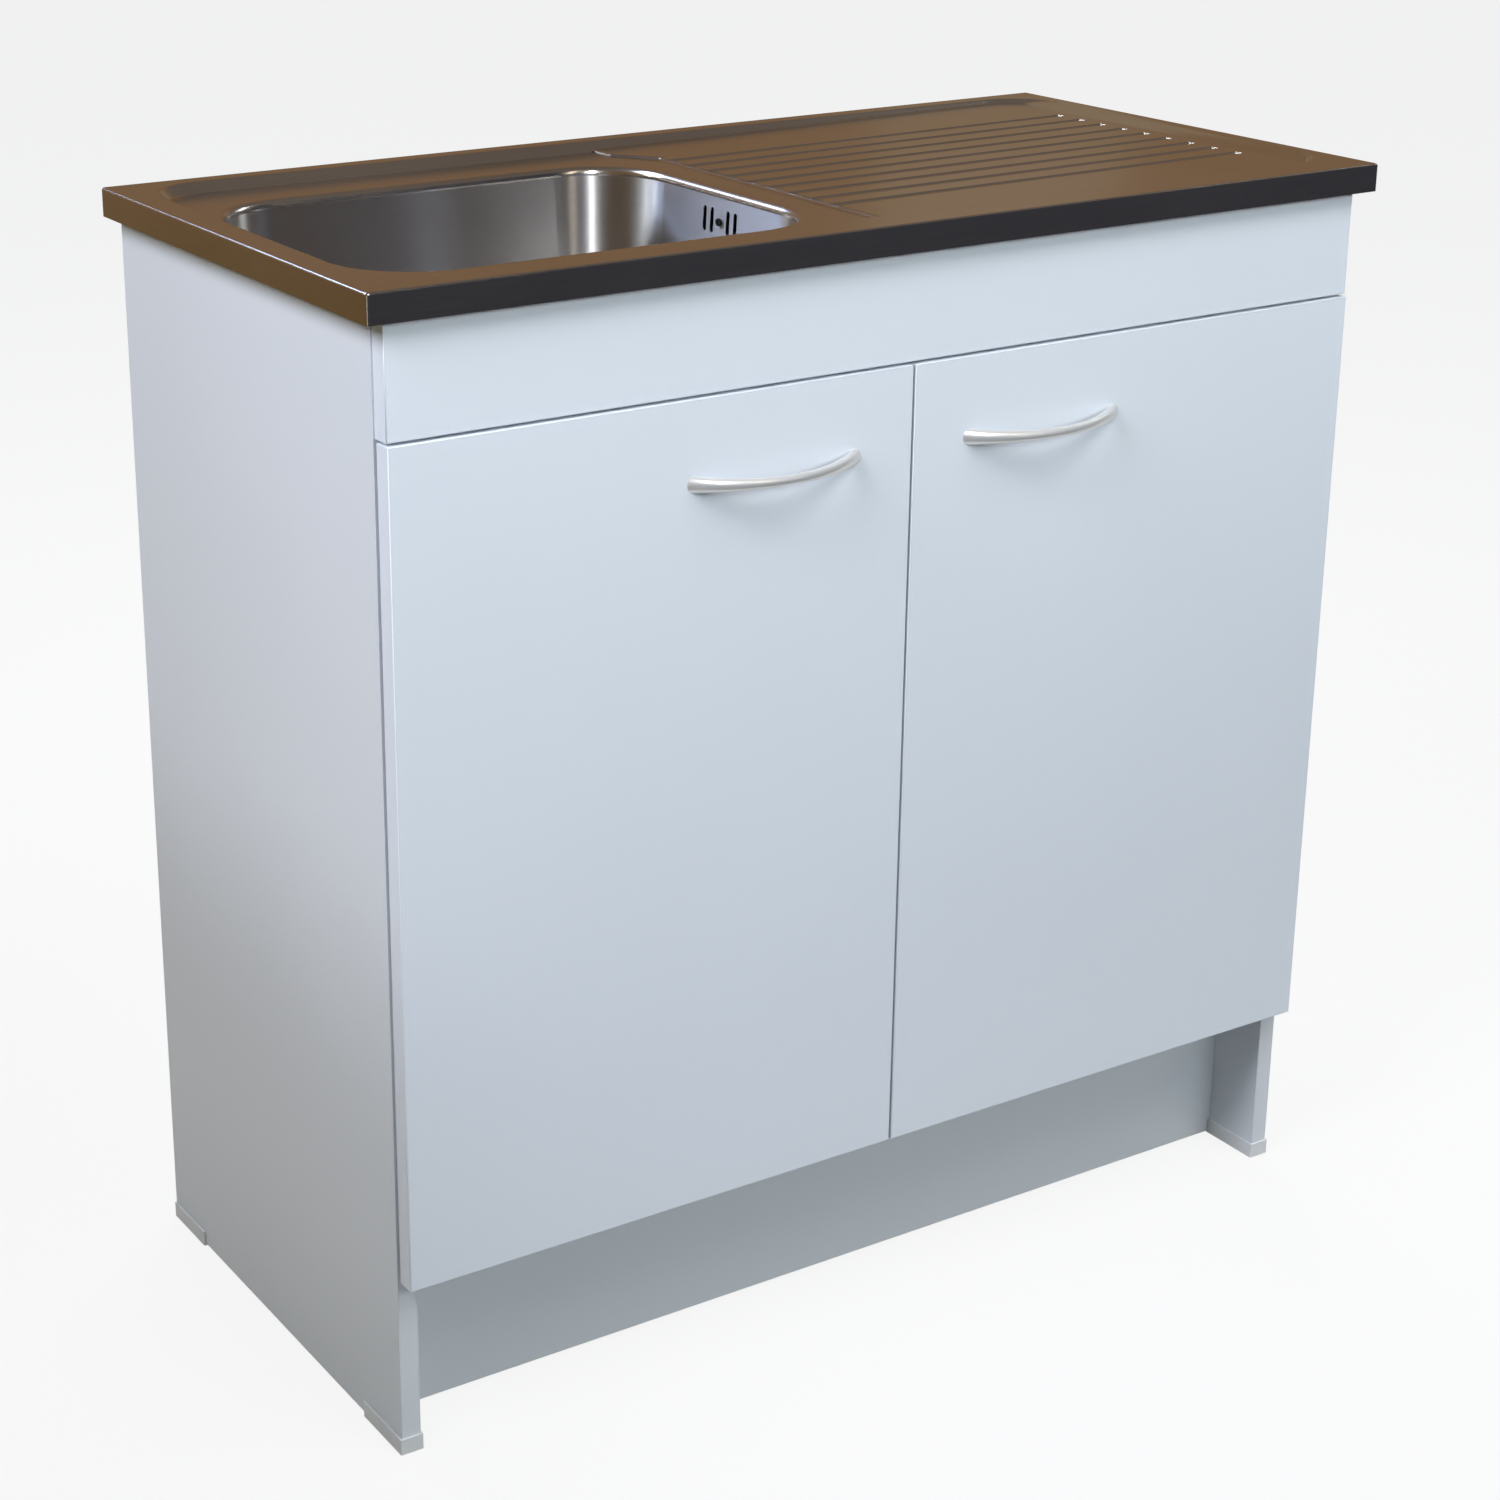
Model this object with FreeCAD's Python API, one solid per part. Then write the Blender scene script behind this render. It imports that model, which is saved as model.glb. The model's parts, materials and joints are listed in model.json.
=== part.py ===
import FreeCAD, Part
import math
import os

# A free-standing kitchen sink unit: a two-door white board cabinet on plastic foot shoes,
# with a folded stainless top that holds one bowl on the left and a ribbed drainer on the right.
# Frame: X to the right, the front faces -Y, Z up. The floor is Z = 0 and the origin is the
# bottom centre of the box around the whole unit. All sizes are millimetres.

V = FreeCAD.Vector

# ---------------------------------------------------------------- driving dimensions
# Whole unit
unit_height = 890.0
top_width = 900.0
top_depth = 440.0
board = 16.0                    # every carcass board, door and false front

# Clearances and fits
tool_overlap = 1.0              # how far a cutting shape reaches past what it cuts
seat_gap = 0.3                  # between pieces on different bodies that rest together
screw_gap = 0.05                # radial, a screw or nail in its hole
dowel_gap = 0.05                # radial, a wooden dowel in its bore
pin_gap = 0.06                  # radial, a hinge pin turning in its eye
cam_gap = 0.1                   # radial, a cam lock in its bore
bore_end_gap = 0.5              # past the end of a dowel or screw in a blind hole
cup_gap = 0.05                  # radial, a hinge cup in the door
hose_gap = 0.05                 # radial, the overflow pipe over its spigots
rest_slack = 0.05               # under the sheet where it lies on a strip
shoe_gap = 0.1                  # each side of a panel in its foot shoe

# Screw heads
head_ratio = 1.9                # head radius over shank radius
head_height = 2.0
thin_head_height = 1.2
flush_head_height = 0.5
drive_reach = 0.62              # of the head's radius
drive_blade = 0.12              # of the head's radius
drive_depth = 0.55              # of the head's height

# Folded steel top
sheet = 0.9
rim_height = 22.0
rim_return = 6.0
rim_corner_radius = 3.0
rim_edge_radius = 2.0
border_left = 23.0
border_front = 34.0
border_back = 16.0
border_right = 13.0
recess_depth = 8.0              # also the width of its 45 degree slope
recess_corner_radius = 48.0
ledge_left = 7.0                # flat ledge between the slope and the bowl mouth
ledge_front = 24.0

# Bowl
bowl_width = 386.0
bowl_length = 302.0
bowl_depth = 150.0              # from the ledge down
bowl_corner_radius = 70.0
bowl_draft = 8.0                # how far each wall leans in over the depth
bowl_lip_radius = 6.0
bowl_floor_radius = 20.0
room_round_bowl = 12.0          # working space round the bowl, outside its walls
weld_below_lip = 0.6            # where the deck's lip ends and the bowl is welded on

# Drainer
bowl_to_drainer = 27.0
drainer_step = 2.0              # the plateau above the ledge at the bowl side
drainer_end_depth = 3.5         # the plateau below the border at the far side
drainer_end_slope = 20.0
drainer_corner_x = 26.0         # the plateau's cut corner behind the bowl
drainer_corner_y = 36.0
drainer_corner_back = 25.0      # from the cut corner to the back slope
groove_count = 9
groove_pitch = 28.0
groove_floor = 6.0
groove_sill = 0.3               # groove floors above the ledge where they run out
groove_end_depth = 1.0
groove_end_margin = 11.0
groove_start_margin = 2.0       # past the foot of the step, so that each groove opens on the ledge
groove_head_drop = 0.5          # top of a groove's cutter below the border

# Waste
waste_hole_radius = 45.0
waste_dish_radius = 58.0
waste_dish_depth = 5.0
flange_radius = 56.0
flange_cup_radius = 43.0
flange_cup_depth = 28.0
flange_wall = 1.0
gasket_upper = 1.0
gasket_upper_inset = 1.0        # inside the flange's edge
gasket_lower = 2.5
waste_body_radius = 49.0
waste_body_wall = 3.0
waste_body_drop = 36.0          # from the lower gasket to the floor of the body
outlet_radius = 23.9
outlet_length = 38.0
drain_hole_radius = 6.0
drain_hole_circle = 27.0
drain_hole_count = 6
clamp_screw_radius = 3.0
clamp_head_radius = 8.0
clamp_head_height = 3.5
clamp_boss_radius = 6.0
clamp_boss_rise = 8.0
spider_drop = 3.0               # the arms of the boss below the floor and the boss's top
clamp_boss_drop = 5.0
clamp_past_floor = 2.0
strainer_radius = 41.5
strainer_height = 14.0
strainer_wall = 1.5
strainer_hole_radius = 3.0
strainer_circle_first = 14.0
strainer_circle_step = 9.0
strainer_circle_count = 3
strainer_hole_spacing = 14.5    # along each circle
knob_radius = 10.0
knob_height = 6.0
knob_edge_round = 2.0
knob_stem_radius = 4.0
knob_stem_height = 15.0

# Overflow
overflow_drop = 33.0            # middle of the slots below the border
slot_length = 20.0
slot_width = 4.6
slot_pitch = 10.0
slot_middle_gap = 22.0          # between the two inner slots, on each side of the screw
overflow_screw_radius = 2.0
overflow_head_radius = 3.0
overflow_boss_radius = 5.0
overflow_head_height = 1.6
overflow_head_standoff = 0.4    # clears the leaning wall
housing_width = 64.0
housing_height = 26.0
housing_depth = 28.0
housing_wall = 2.0
overflow_gasket = 2.0
seal_rim = 2.5                  # width of the seal round the slots
spigot_radius = 11.0
spigot_wall = 2.0
spigot_length = 26.0
pipe_wall = 2.0
hose_from_body = 4.0            # from the waste body to the end of the pipe
pipe_bend_radius = 36.0
pipe_axis_below_floor = 25.0    # the level pipe below the underside of the bowl

# Cabinet
top_side_overhang = 15.0
top_front_overhang = 26.0
panel_lift = 2.0                # the floor of the foot shoes
base_height = 147.0             # underside of the base panel
plinth_setback = 54.0           # behind the front edge of the side panels
back_panel_thickness = 3.0
back_panel_inset = 10.0
back_panel_tongue = 6.5         # how far it enters each side panel
back_panel_height = 477.0
back_groove_slack = 0.2
front_rail_height = 110.0
rear_rail_height = 80.0
wall_hole_radius = 4.0
wall_hole_spacing = 640.0

# Fronts
false_front_height = 81.0
door_gap_middle = 2.0
front_gap = 2.0                 # between the doors and the false front
front_edge_inset = 1.5          # outer edge of a door inside the panel's outer face
door_standoff = 2.0             # between a door and the carcass
false_front_drop = 2.0          # top of the false front below the rim
front_edge_round = 1.0

# Handles
handle_length = 151.0
handle_hole_spacing = 128.0
handle_reach = 28.0
handle_thickness = 7.0
handle_end_height = 14.5        # where the bow passes into the door
handle_middle_height = 7.5
handle_foot_thickness = 9.0
handle_screw_reach = 5.0        # how far each screw enters the pull
handle_from_middle = 122.5
handle_below_door_top = 62.0
handle_screw_radius = 2.0
handle_past_face = 1.12         # the bow is drawn this far past the door, then cut flat
handle_steps = 5

# Concealed hinges, measured from a side panel's outer face and front edge
hinge_from_door_end = 80.0
cup_radius = 17.5
cup_depth = 11.5
cup_wall = 1.0
cup_from_panel = 24.0
cup_flange_height = 26.0
cup_flange_width = 20.0
cup_flange_sheet = 1.0
cup_flange_corner = 5.0
cup_rim = 1.0
cup_ear_wall = 1.0
cup_screw_radius = 1.8
cup_screw_spread = 21.5
cup_screw_length = 10.5
arm_pin_x = 34.0
arm_pin_y = -1.0
cup_pin_x = 10.6
cup_pin_y = -7.0
cup_pin_half = 8.0
link_bend_x = 16.9
link_bend_y = -11.0
link_thickness = 2.0
link_width = 8.0
link_eye_radius = 2.2
hinge_pin_radius = 1.2
arm_side_gap = 0.3
arm_sheet = 1.5
arm_eye_radius = 3.0
arm_height = 21.0
arm_front = 8.0
arm_back = 74.0
arm_lift = 6.0                  # the arm's cheeks above the panel
arm_screw_y = 51.5
plate_front = 28.0
plate_back = 60.0
plate_screw_line = 37.0
plate_screw_spread = 16.0
plate_wing_height = 24.0
plate_wing_length = 16.0
plate_wing_sheet = 3.0
plate_screw_radius = 2.5
plate_screw_depth = 11.0        # into the side panel
plate_clamp_depth = 8.0         # the arm's screw into the plate

# Wood support strips under the steel
side_strip_width = 30.0
front_strip_width = 52.0
rear_strip_width = 52.0
drainer_strip_width = 44.0
drainer_strip_from_step = 190.0

# Knock-down fittings
cam_radius = 7.5
cam_height = 12.3
cam_from_end = 34.0
cam_bolt_radius = 3.0
cam_bolt_thread = 11.0
cam_bolt_step = 0.5             # the threaded end thinner than the shank
cam_notch = 7.2
cam_end_margin = 62.0
dowel_radius = 4.0
dowel_length = 30.0
dowel_in_panel = 12.0
dowel_from_cam = 32.0
rail_dowel_from_cam = 24.0

# Small parts
shoe_length = 60.0
shoe_height = 13.0
shoe_wall = 1.5
shoe_corner_round = 1.0
shoe_nail_radius = 1.2
shoe_nail_length = 18.0
shoe_nail_head = 3.0
shoe_nail_sink = 0.5            # the nail's head above the floor
shoe_nail_head_height = 1.0
block_size = 20.0
block_height = 60.0
block_screw_radius = 2.0
block_screw_length = 28.0
block_screw_offset = 15.0       # the plinth screw above the panel screw
bracket_leg = 12.0
bracket_drop = 30.0
bracket_screw_drop = 18.0
bracket_width = 18.0
bracket_sheet = 1.5
bracket_screw_radius = 1.8
bracket_screw_length = 10.0
bracket_from_end = 120.0
buffer_radius = 4.0
buffer_from_edge = 30.0
buffer_from_top = 10.0
pad_width = 80.0
pad_length = 170.0
pad_thickness = 2.0
pad_from_waste = 70.0
pad_corner = 6.0
front_screw_radius = 2.0
front_screw_length = 26.0
front_screw_margin = 110.0

# ---------------------------------------------------------------- places worked out from them
door_thickness = board
handle_over_front = handle_reach + door_thickness + door_standoff - top_front_overhang
top_front = (handle_over_front - top_depth) / 2.0
top_back = top_front + top_depth
top_left = -top_width / 2.0
top_right = top_width / 2.0
rim_bottom = unit_height - rim_height

panel_outer = top_width / 2.0 - top_side_overhang
panel_inner = panel_outer - board
carcass_front = top_front + top_front_overhang
carcass_back = top_back
carcass_top = rim_bottom
base_top = base_height + board

ledge_z = unit_height - recess_depth
recess_left = top_left + border_left
recess_right = top_right - border_right
recess_front = top_front + border_front
recess_back = top_back - border_back

bowl_left = recess_left + recess_depth + ledge_left
bowl_right = bowl_left + bowl_width
bowl_front = recess_front + recess_depth + ledge_front
bowl_back = bowl_front + bowl_length
bowl_x = (bowl_left + bowl_right) / 2.0
bowl_y = (bowl_front + bowl_back) / 2.0
bowl_floor = ledge_z - bowl_depth
weld_z = ledge_z - bowl_lip_radius - weld_below_lip

drainer_left = bowl_right + bowl_to_drainer
drainer_right = recess_right - drainer_end_slope
drainer_low_z = ledge_z + drainer_step
drainer_high_z = unit_height - drainer_end_depth
groove_right = drainer_right - groove_end_margin
groove_middle = (recess_front + recess_back) / 2.0 - recess_depth / 2.0

door_top = rim_bottom - false_front_drop - false_front_height - front_gap
door_back = carcass_front - door_standoff
door_front = door_back - door_thickness
door_outer = panel_outer - front_edge_inset
door_inner = door_gap_middle / 2.0
hinge_heights = [base_height + hinge_from_door_end, door_top - hinge_from_door_end]
handle_z = door_top - handle_below_door_top

dish_z = bowl_floor - waste_dish_depth
flange_z = dish_z + gasket_upper
flange_floor = flange_z - flange_cup_depth
body_top = dish_z - sheet - gasket_lower
body_floor = body_top - waste_body_drop
pipe_level = bowl_floor - sheet - pipe_axis_below_floor


# ---------------------------------------------------------------- helpers
def box(x0, x1, y0, y1, z0, z1):
    return Part.makeBox(x1 - x0, y1 - y0, z1 - z0, V(x0, y0, z0))


def rod(radius, start, direction, length):
    return Part.makeCylinder(radius, length, start, direction)


def upright(radius, x, y, z0, z1):
    return rod(radius, V(x, y, z0), V(0, 0, 1), z1 - z0)


def joined(shapes):
    return shapes[0].multiFuse(shapes[1:]).removeSplitter()


def without(shape, tools):
    return shape.cut(tools)


def mirrored(shape):
    return shape.mirror(V(0, 0, 0), V(1, 0, 0))


def save(node, solids):
    Part.makeCompound(solids).exportStep("parts/" + node + ".step")


def edges_where(shape, test):
    return [edge for edge in shape.Edges if test(edge)]


def is_upright(edge):
    box_of_edge = edge.BoundBox
    return box_of_edge.XLength + box_of_edge.YLength < 0.001


def lies_at(edge, z):
    return abs(edge.BoundBox.ZMin - z) < 0.001 and abs(edge.BoundBox.ZMax - z) < 0.001


def rounded_outline(x0, x1, y0, y1, radius, z):
    """A rectangle with four equally rounded corners, as a closed wire at height z."""
    turn = math.sqrt(0.5) * radius
    lines = [
        (V(x0 + radius, y0, z), V(x1 - radius, y0, z)),
        (V(x1, y0 + radius, z), V(x1, y1 - radius, z)),
        (V(x1 - radius, y1, z), V(x0 + radius, y1, z)),
        (V(x0, y1 - radius, z), V(x0, y0 + radius, z)),
    ]
    middles = [
        V(x1 - radius + turn, y0 + radius - turn, z),
        V(x1 - radius + turn, y1 - radius + turn, z),
        V(x0 + radius - turn, y1 - radius + turn, z),
        V(x0 + radius - turn, y0 + radius - turn, z),
    ]
    edges = []
    for corner in range(4):
        start, end = lines[corner]
        edges.append(Part.LineSegment(start, end).toShape())
        following = lines[(corner + 1) % 4][0]
        edges.append(Part.Arc(end, middles[corner], following).toShape())
    return Part.Wire(edges)


def polygon_face(points):
    return Part.Face(Part.makePolygon(points + [points[0]]))


def ring(outer, inner, x, y, z0, z1):
    return upright(outer, x, y, z0, z1).cut(upright(inner, x, y, z0, z1))


def screw(at, towards, length, shank, head, height):
    """A pan-head screw with a cross recess. Its head sits on the point and the shank goes in."""
    body = upright(head, 0, 0, 0, height).fuse(upright(shank, 0, 0, -length, 0))
    arm = head * drive_reach
    blade = head * drive_blade
    bottom = height * (1.0 - drive_depth)
    cross = box(-arm, arm, -blade, blade, bottom, height)
    cross = cross.fuse(box(-blade, blade, -arm, arm, bottom, height))
    body = body.cut(cross)
    body.Placement = FreeCAD.Placement(at, FreeCAD.Rotation(V(0, 0, -1), towards))
    return body


# ---------------------------------------------------------------- steel top and bowl
def drainer_slope_z(x):
    """Height of the drainer plateau, which falls gently towards the bowl."""
    share = (x - drainer_left) / (drainer_right - drainer_left)
    return drainer_low_z + (drainer_high_z - drainer_low_z) * share


def groove_floor_z(x):
    """Height of a groove's floor: deepest at the bowl side, nearly level with the plateau at its end."""
    low = ledge_z + groove_sill
    high = drainer_slope_z(groove_right) - groove_end_depth
    return low + (high - low) * (x - drainer_left) / (groove_right - drainer_left)


def recess_funnel():
    """The air of the recess before the drainer rises in it: a rounded funnel with 45 degree sides."""
    over = tool_overlap
    wide = rounded_outline(recess_left - over, recess_right + over, recess_front - over,
                           recess_back + over, recess_corner_radius + over, unit_height + over)
    inset = recess_depth
    narrow = rounded_outline(recess_left + inset, recess_right - inset, recess_front + inset,
                             recess_back - inset, recess_corner_radius - inset, ledge_z)
    return Part.makeLoft([wide, narrow], True, True)


def drainer_plateau():
    """The raised field of the drainer, with a sloping edge to the ledge and a cut back corner."""
    below = tool_overlap
    above = recess_depth + tool_overlap
    corner_y = recess_back - recess_depth - drainer_corner_back - drainer_corner_y

    def plan(z, shift):
        left = drainer_left - drainer_step + shift
        back_left = left - drainer_corner_x
        return Part.makePolygon([
            V(left, top_front, z),
            V(left, corner_y, z),
            V(back_left, corner_y + drainer_corner_y, z),
            V(back_left, top_back, z),
            V(top_right, top_back, z),
            V(top_right, top_front, z),
            V(left, top_front, z),
        ])

    block = Part.makeLoft([plan(ledge_z - below, -below), plan(ledge_z + above, above)], True, True)
    rise = drainer_end_depth / drainer_end_slope
    start = bowl_right
    profile = polygon_face([
        V(start, top_front, ledge_z - below),
        V(start, top_front, drainer_slope_z(start)),
        V(drainer_right, top_front, drainer_high_z),
        V(top_right, top_front, drainer_high_z + rise * (top_right - drainer_right)),
        V(top_right, top_front, ledge_z - below),
    ])
    return block.common(profile.extrude(V(0, top_depth, 0)))


def grooves():
    """Tapering channels along the drainer, with sides at 45 degrees."""
    shapes = []
    start = drainer_left - drainer_step - groove_start_margin
    head = unit_height - groove_head_drop
    first = groove_middle - groove_pitch * (groove_count - 1) / 2.0

    def section(x, y):
        floor = groove_floor_z(x)
        half = groove_floor / 2.0
        wide = half + head - floor
        return Part.makePolygon([
            V(x, y - half, floor),
            V(x, y + half, floor),
            V(x, y + wide, head),
            V(x, y - wide, head),
            V(x, y - half, floor),
        ])

    for row in range(groove_count):
        y = first + row * groove_pitch
        shapes.append(Part.makeLoft([section(start, y), section(groove_right, y)], True, True))
    return shapes


def bowl_air(grow):
    """The inside of the bowl, made larger all round by grow."""
    top_inset = bowl_lip_radius - grow
    lean = bowl_draft / bowl_depth
    over = recess_depth + tool_overlap
    floor = bowl_floor - grow

    def outline(z):
        inset = top_inset + lean * (ledge_z - z)
        return rounded_outline(bowl_left + inset, bowl_right - inset, bowl_front + inset,
                               bowl_back - inset, bowl_corner_radius - inset, z)

    air = Part.makeLoft([outline(ledge_z + over), outline(floor)], True, True)
    return air.makeFillet(bowl_floor_radius + grow, edges_where(air, lambda e: lies_at(e, floor)))


def below_surface(depth):
    """Everything under the steel's surface, set down and in by depth: 0 for its upper side."""
    corner = rim_corner_radius - depth
    edge_round = rim_edge_radius - depth
    block = box(top_left + depth, top_right - depth, top_front + depth, top_back - depth,
                rim_bottom - depth, unit_height - depth)
    block = block.makeFillet(corner, edges_where(block, is_upright))
    block = block.makeFillet(edge_round, edges_where(block, lambda e: lies_at(e, unit_height - depth)))
    room = room_round_bowl + depth
    deep = box(bowl_left - room, bowl_right + room, bowl_front - room, bowl_back + room,
               bowl_floor - waste_dish_depth - room, rim_bottom + tool_overlap)
    deck_air = recess_funnel().cut(drainer_plateau()).multiFuse(grooves())
    deck_air.translate(V(0, 0, -depth))
    solid = block.fuse(deep).cut(deck_air).cut(bowl_air(depth))
    mouth = edges_where(solid, lambda e: lies_at(e, ledge_z - depth) and near_mouth(e))
    solid = solid.makeFillet(bowl_lip_radius - depth, mouth)
    dish = upright(waste_dish_radius + depth, bowl_x, bowl_y, dish_z - depth, ledge_z)
    return solid.cut(dish)


def near_mouth(edge):
    """True for the edges where the ledge turns down into the bowl."""
    reach = edge.BoundBox
    slack = tool_overlap
    inside_x = reach.XMin > bowl_left - slack and reach.XMax < bowl_right + slack
    inside_y = reach.YMin > bowl_front - slack and reach.YMax < bowl_back + slack
    return inside_x and inside_y


def overflow_slots():
    """Upright slots through the right wall, in two pairs, with the screw hole between them."""
    tools = []
    z = unit_height - overflow_drop
    x0 = bowl_right - bowl_lip_radius - bowl_draft
    half = slot_width / 2.0
    straight = slot_length / 2.0 - half
    for side in (-1, 1):
        for place in range(2):
            y = bowl_y + side * (slot_middle_gap / 2.0 + place * slot_pitch)
            tools.append(box(x0, bowl_right, y - half, y + half, z - straight, z + straight))
            for end in (z - straight, z + straight):
                tools.append(rod(half, V(x0, y, end), V(1, 0, 0), bowl_right - x0))
    start = V(x0, bowl_y, z)
    tools.append(rod(overflow_screw_radius + screw_gap, start, V(1, 0, 0), housing_depth / 2.0))
    return tools


def steel_top():
    """The folded deck with its rim, and the bowl that is welded on under the lip."""
    shell = below_surface(0.0).cut(below_surface(sheet))
    inner = box(top_left + sheet, top_right - sheet, top_front + sheet, top_back - sheet,
                rim_bottom, rim_bottom + sheet)
    hollow = box(top_left + sheet + rim_return, top_right - sheet - rim_return,
                 top_front + sheet + rim_return, top_back - sheet - rim_return,
                 rim_bottom, rim_bottom + sheet)
    inner = inner.makeFillet(rim_corner_radius - sheet, edges_where(inner, is_upright))
    split = box(bowl_left, bowl_right, bowl_front, bowl_back, dish_z - flange_cup_depth, weld_z)
    deck = shell.cut(split).fuse(inner.cut(hollow)).removeSplitter()
    bowl = shell.common(split)
    hole = upright(waste_hole_radius, bowl_x, bowl_y, dish_z - sheet * 2.0, bowl_floor)
    bowl = without(bowl, [hole] + overflow_slots())
    save("sink_top", [deck])
    save("sink_bowl", [bowl])


def sound_pad():
    """A bitumen pad glued under the bowl, on the left of the waste."""
    z = bowl_floor - sheet
    x = bowl_x - pad_from_waste
    pad = box(x - pad_width, x, bowl_y - pad_length / 2.0, bowl_y + pad_length / 2.0,
              z - pad_thickness, z)
    save("sound_deadening_pad", [pad.makeFillet(pad_corner, edges_where(pad, is_upright))])


# ---------------------------------------------------------------- waste and overflow
def waste():
    """Basket-strainer waste: flange, seals, body with a side spigot, clamp screw and strainer."""
    x, y = bowl_x, bowl_y
    lip = ring(flange_radius, flange_cup_radius, x, y, flange_z, flange_z + flange_wall)
    cup = upright(flange_cup_radius, x, y, flange_floor, flange_z + flange_wall)
    inside = upright(flange_cup_radius - flange_wall, x, y, flange_floor + flange_wall,
                     flange_z + flange_wall)
    holes = [upright(clamp_screw_radius + screw_gap, x, y, flange_floor, flange_floor + flange_wall)]
    for turn in range(drain_hole_count):
        angle = 2.0 * math.pi * turn / drain_hole_count
        holes.append(upright(drain_hole_radius, x + drain_hole_circle * math.cos(angle),
                             y + drain_hole_circle * math.sin(angle),
                             flange_floor, flange_floor + flange_wall))
    flange = without(lip.fuse(cup.cut(inside)).removeSplitter(), holes)
    save("waste_flange", [flange])

    upper = ring(flange_radius - gasket_upper_inset, waste_hole_radius, x, y, dish_z, flange_z)
    lower = ring(flange_radius, waste_hole_radius, x, y, body_top, dish_z - sheet)
    save("waste_gaskets", [upper, lower])

    inner_radius = waste_body_radius - waste_body_wall
    collar = ring(flange_radius, inner_radius, x, y, body_top - waste_body_wall, body_top)
    shell = upright(waste_body_radius, x, y, body_floor - waste_body_wall, body_top)
    shell = shell.cut(upright(inner_radius, x, y, body_floor, body_top))
    outlet = upright(outlet_radius, x, y, body_floor - outlet_length, body_floor)
    bore = outlet_radius - waste_body_wall
    boss_top = body_floor + clamp_boss_rise
    boss_low = body_floor - clamp_boss_drop
    boss = upright(clamp_boss_radius, x, y, boss_low, boss_top)
    rib = waste_body_wall / 2.0
    arm_low = body_floor - spider_drop
    arm_high = boss_top - spider_drop
    spider = box(x - bore - rib, x + bore + rib, y - rib, y + rib, arm_low, arm_high)
    spider = spider.fuse(box(x - rib, x + rib, y - bore - rib, y + bore + rib, arm_low, arm_high))
    spigot = rod(spigot_radius, V(x + inner_radius, y, pipe_level), V(1, 0, 0),
                 spigot_length + waste_body_wall)
    spigot_bore = rod(spigot_radius - spigot_wall, V(x + inner_radius - tool_overlap, y, pipe_level),
                      V(1, 0, 0), spigot_length + waste_body_wall + tool_overlap)
    body = joined([shell, collar, outlet, spigot])
    body = body.cut(upright(bore, x, y, body_floor - outlet_length, body_floor)).cut(spigot_bore)
    body = joined([body, boss, spider])
    body = body.cut(upright(clamp_screw_radius + screw_gap, x, y, boss_low, boss_top))
    save("waste_body", [body])

    head_z = flange_floor + flange_wall
    clamp = screw(V(x, y, head_z), V(0, 0, -1), head_z - body_floor + clamp_past_floor, clamp_screw_radius,
                  clamp_head_radius, clamp_head_height)
    save("waste_clamp_screw", [clamp])

    foot = head_z + seat_gap
    plate_z = head_z + clamp_head_height + strainer_wall
    wall = ring(strainer_radius, strainer_radius - strainer_wall, x, y, foot, foot + strainer_height)
    plate = upright(strainer_radius - strainer_wall, x, y, plate_z, plate_z + strainer_wall)
    sieve = []
    for step in range(strainer_circle_count):
        circle = strainer_circle_first + step * strainer_circle_step
        count = int(2.0 * math.pi * circle / strainer_hole_spacing)
        for turn in range(count):
            angle = 2.0 * math.pi * turn / count
            sieve.append(upright(strainer_hole_radius, x + circle * math.cos(angle),
                                 y + circle * math.sin(angle), plate_z, plate_z + strainer_wall))
    stem_z = plate_z + strainer_wall
    stem = upright(knob_stem_radius, x, y, stem_z, stem_z + knob_stem_height)
    knob = upright(knob_radius, x, y, stem_z + knob_stem_height,
                   stem_z + knob_stem_height + knob_height)
    knob = knob.makeFillet(knob_edge_round, edges_where(knob, lambda e: not is_upright(e)))
    save("basket_strainer", [joined([wall, plate.cut(sieve), stem, knob])])


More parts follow.
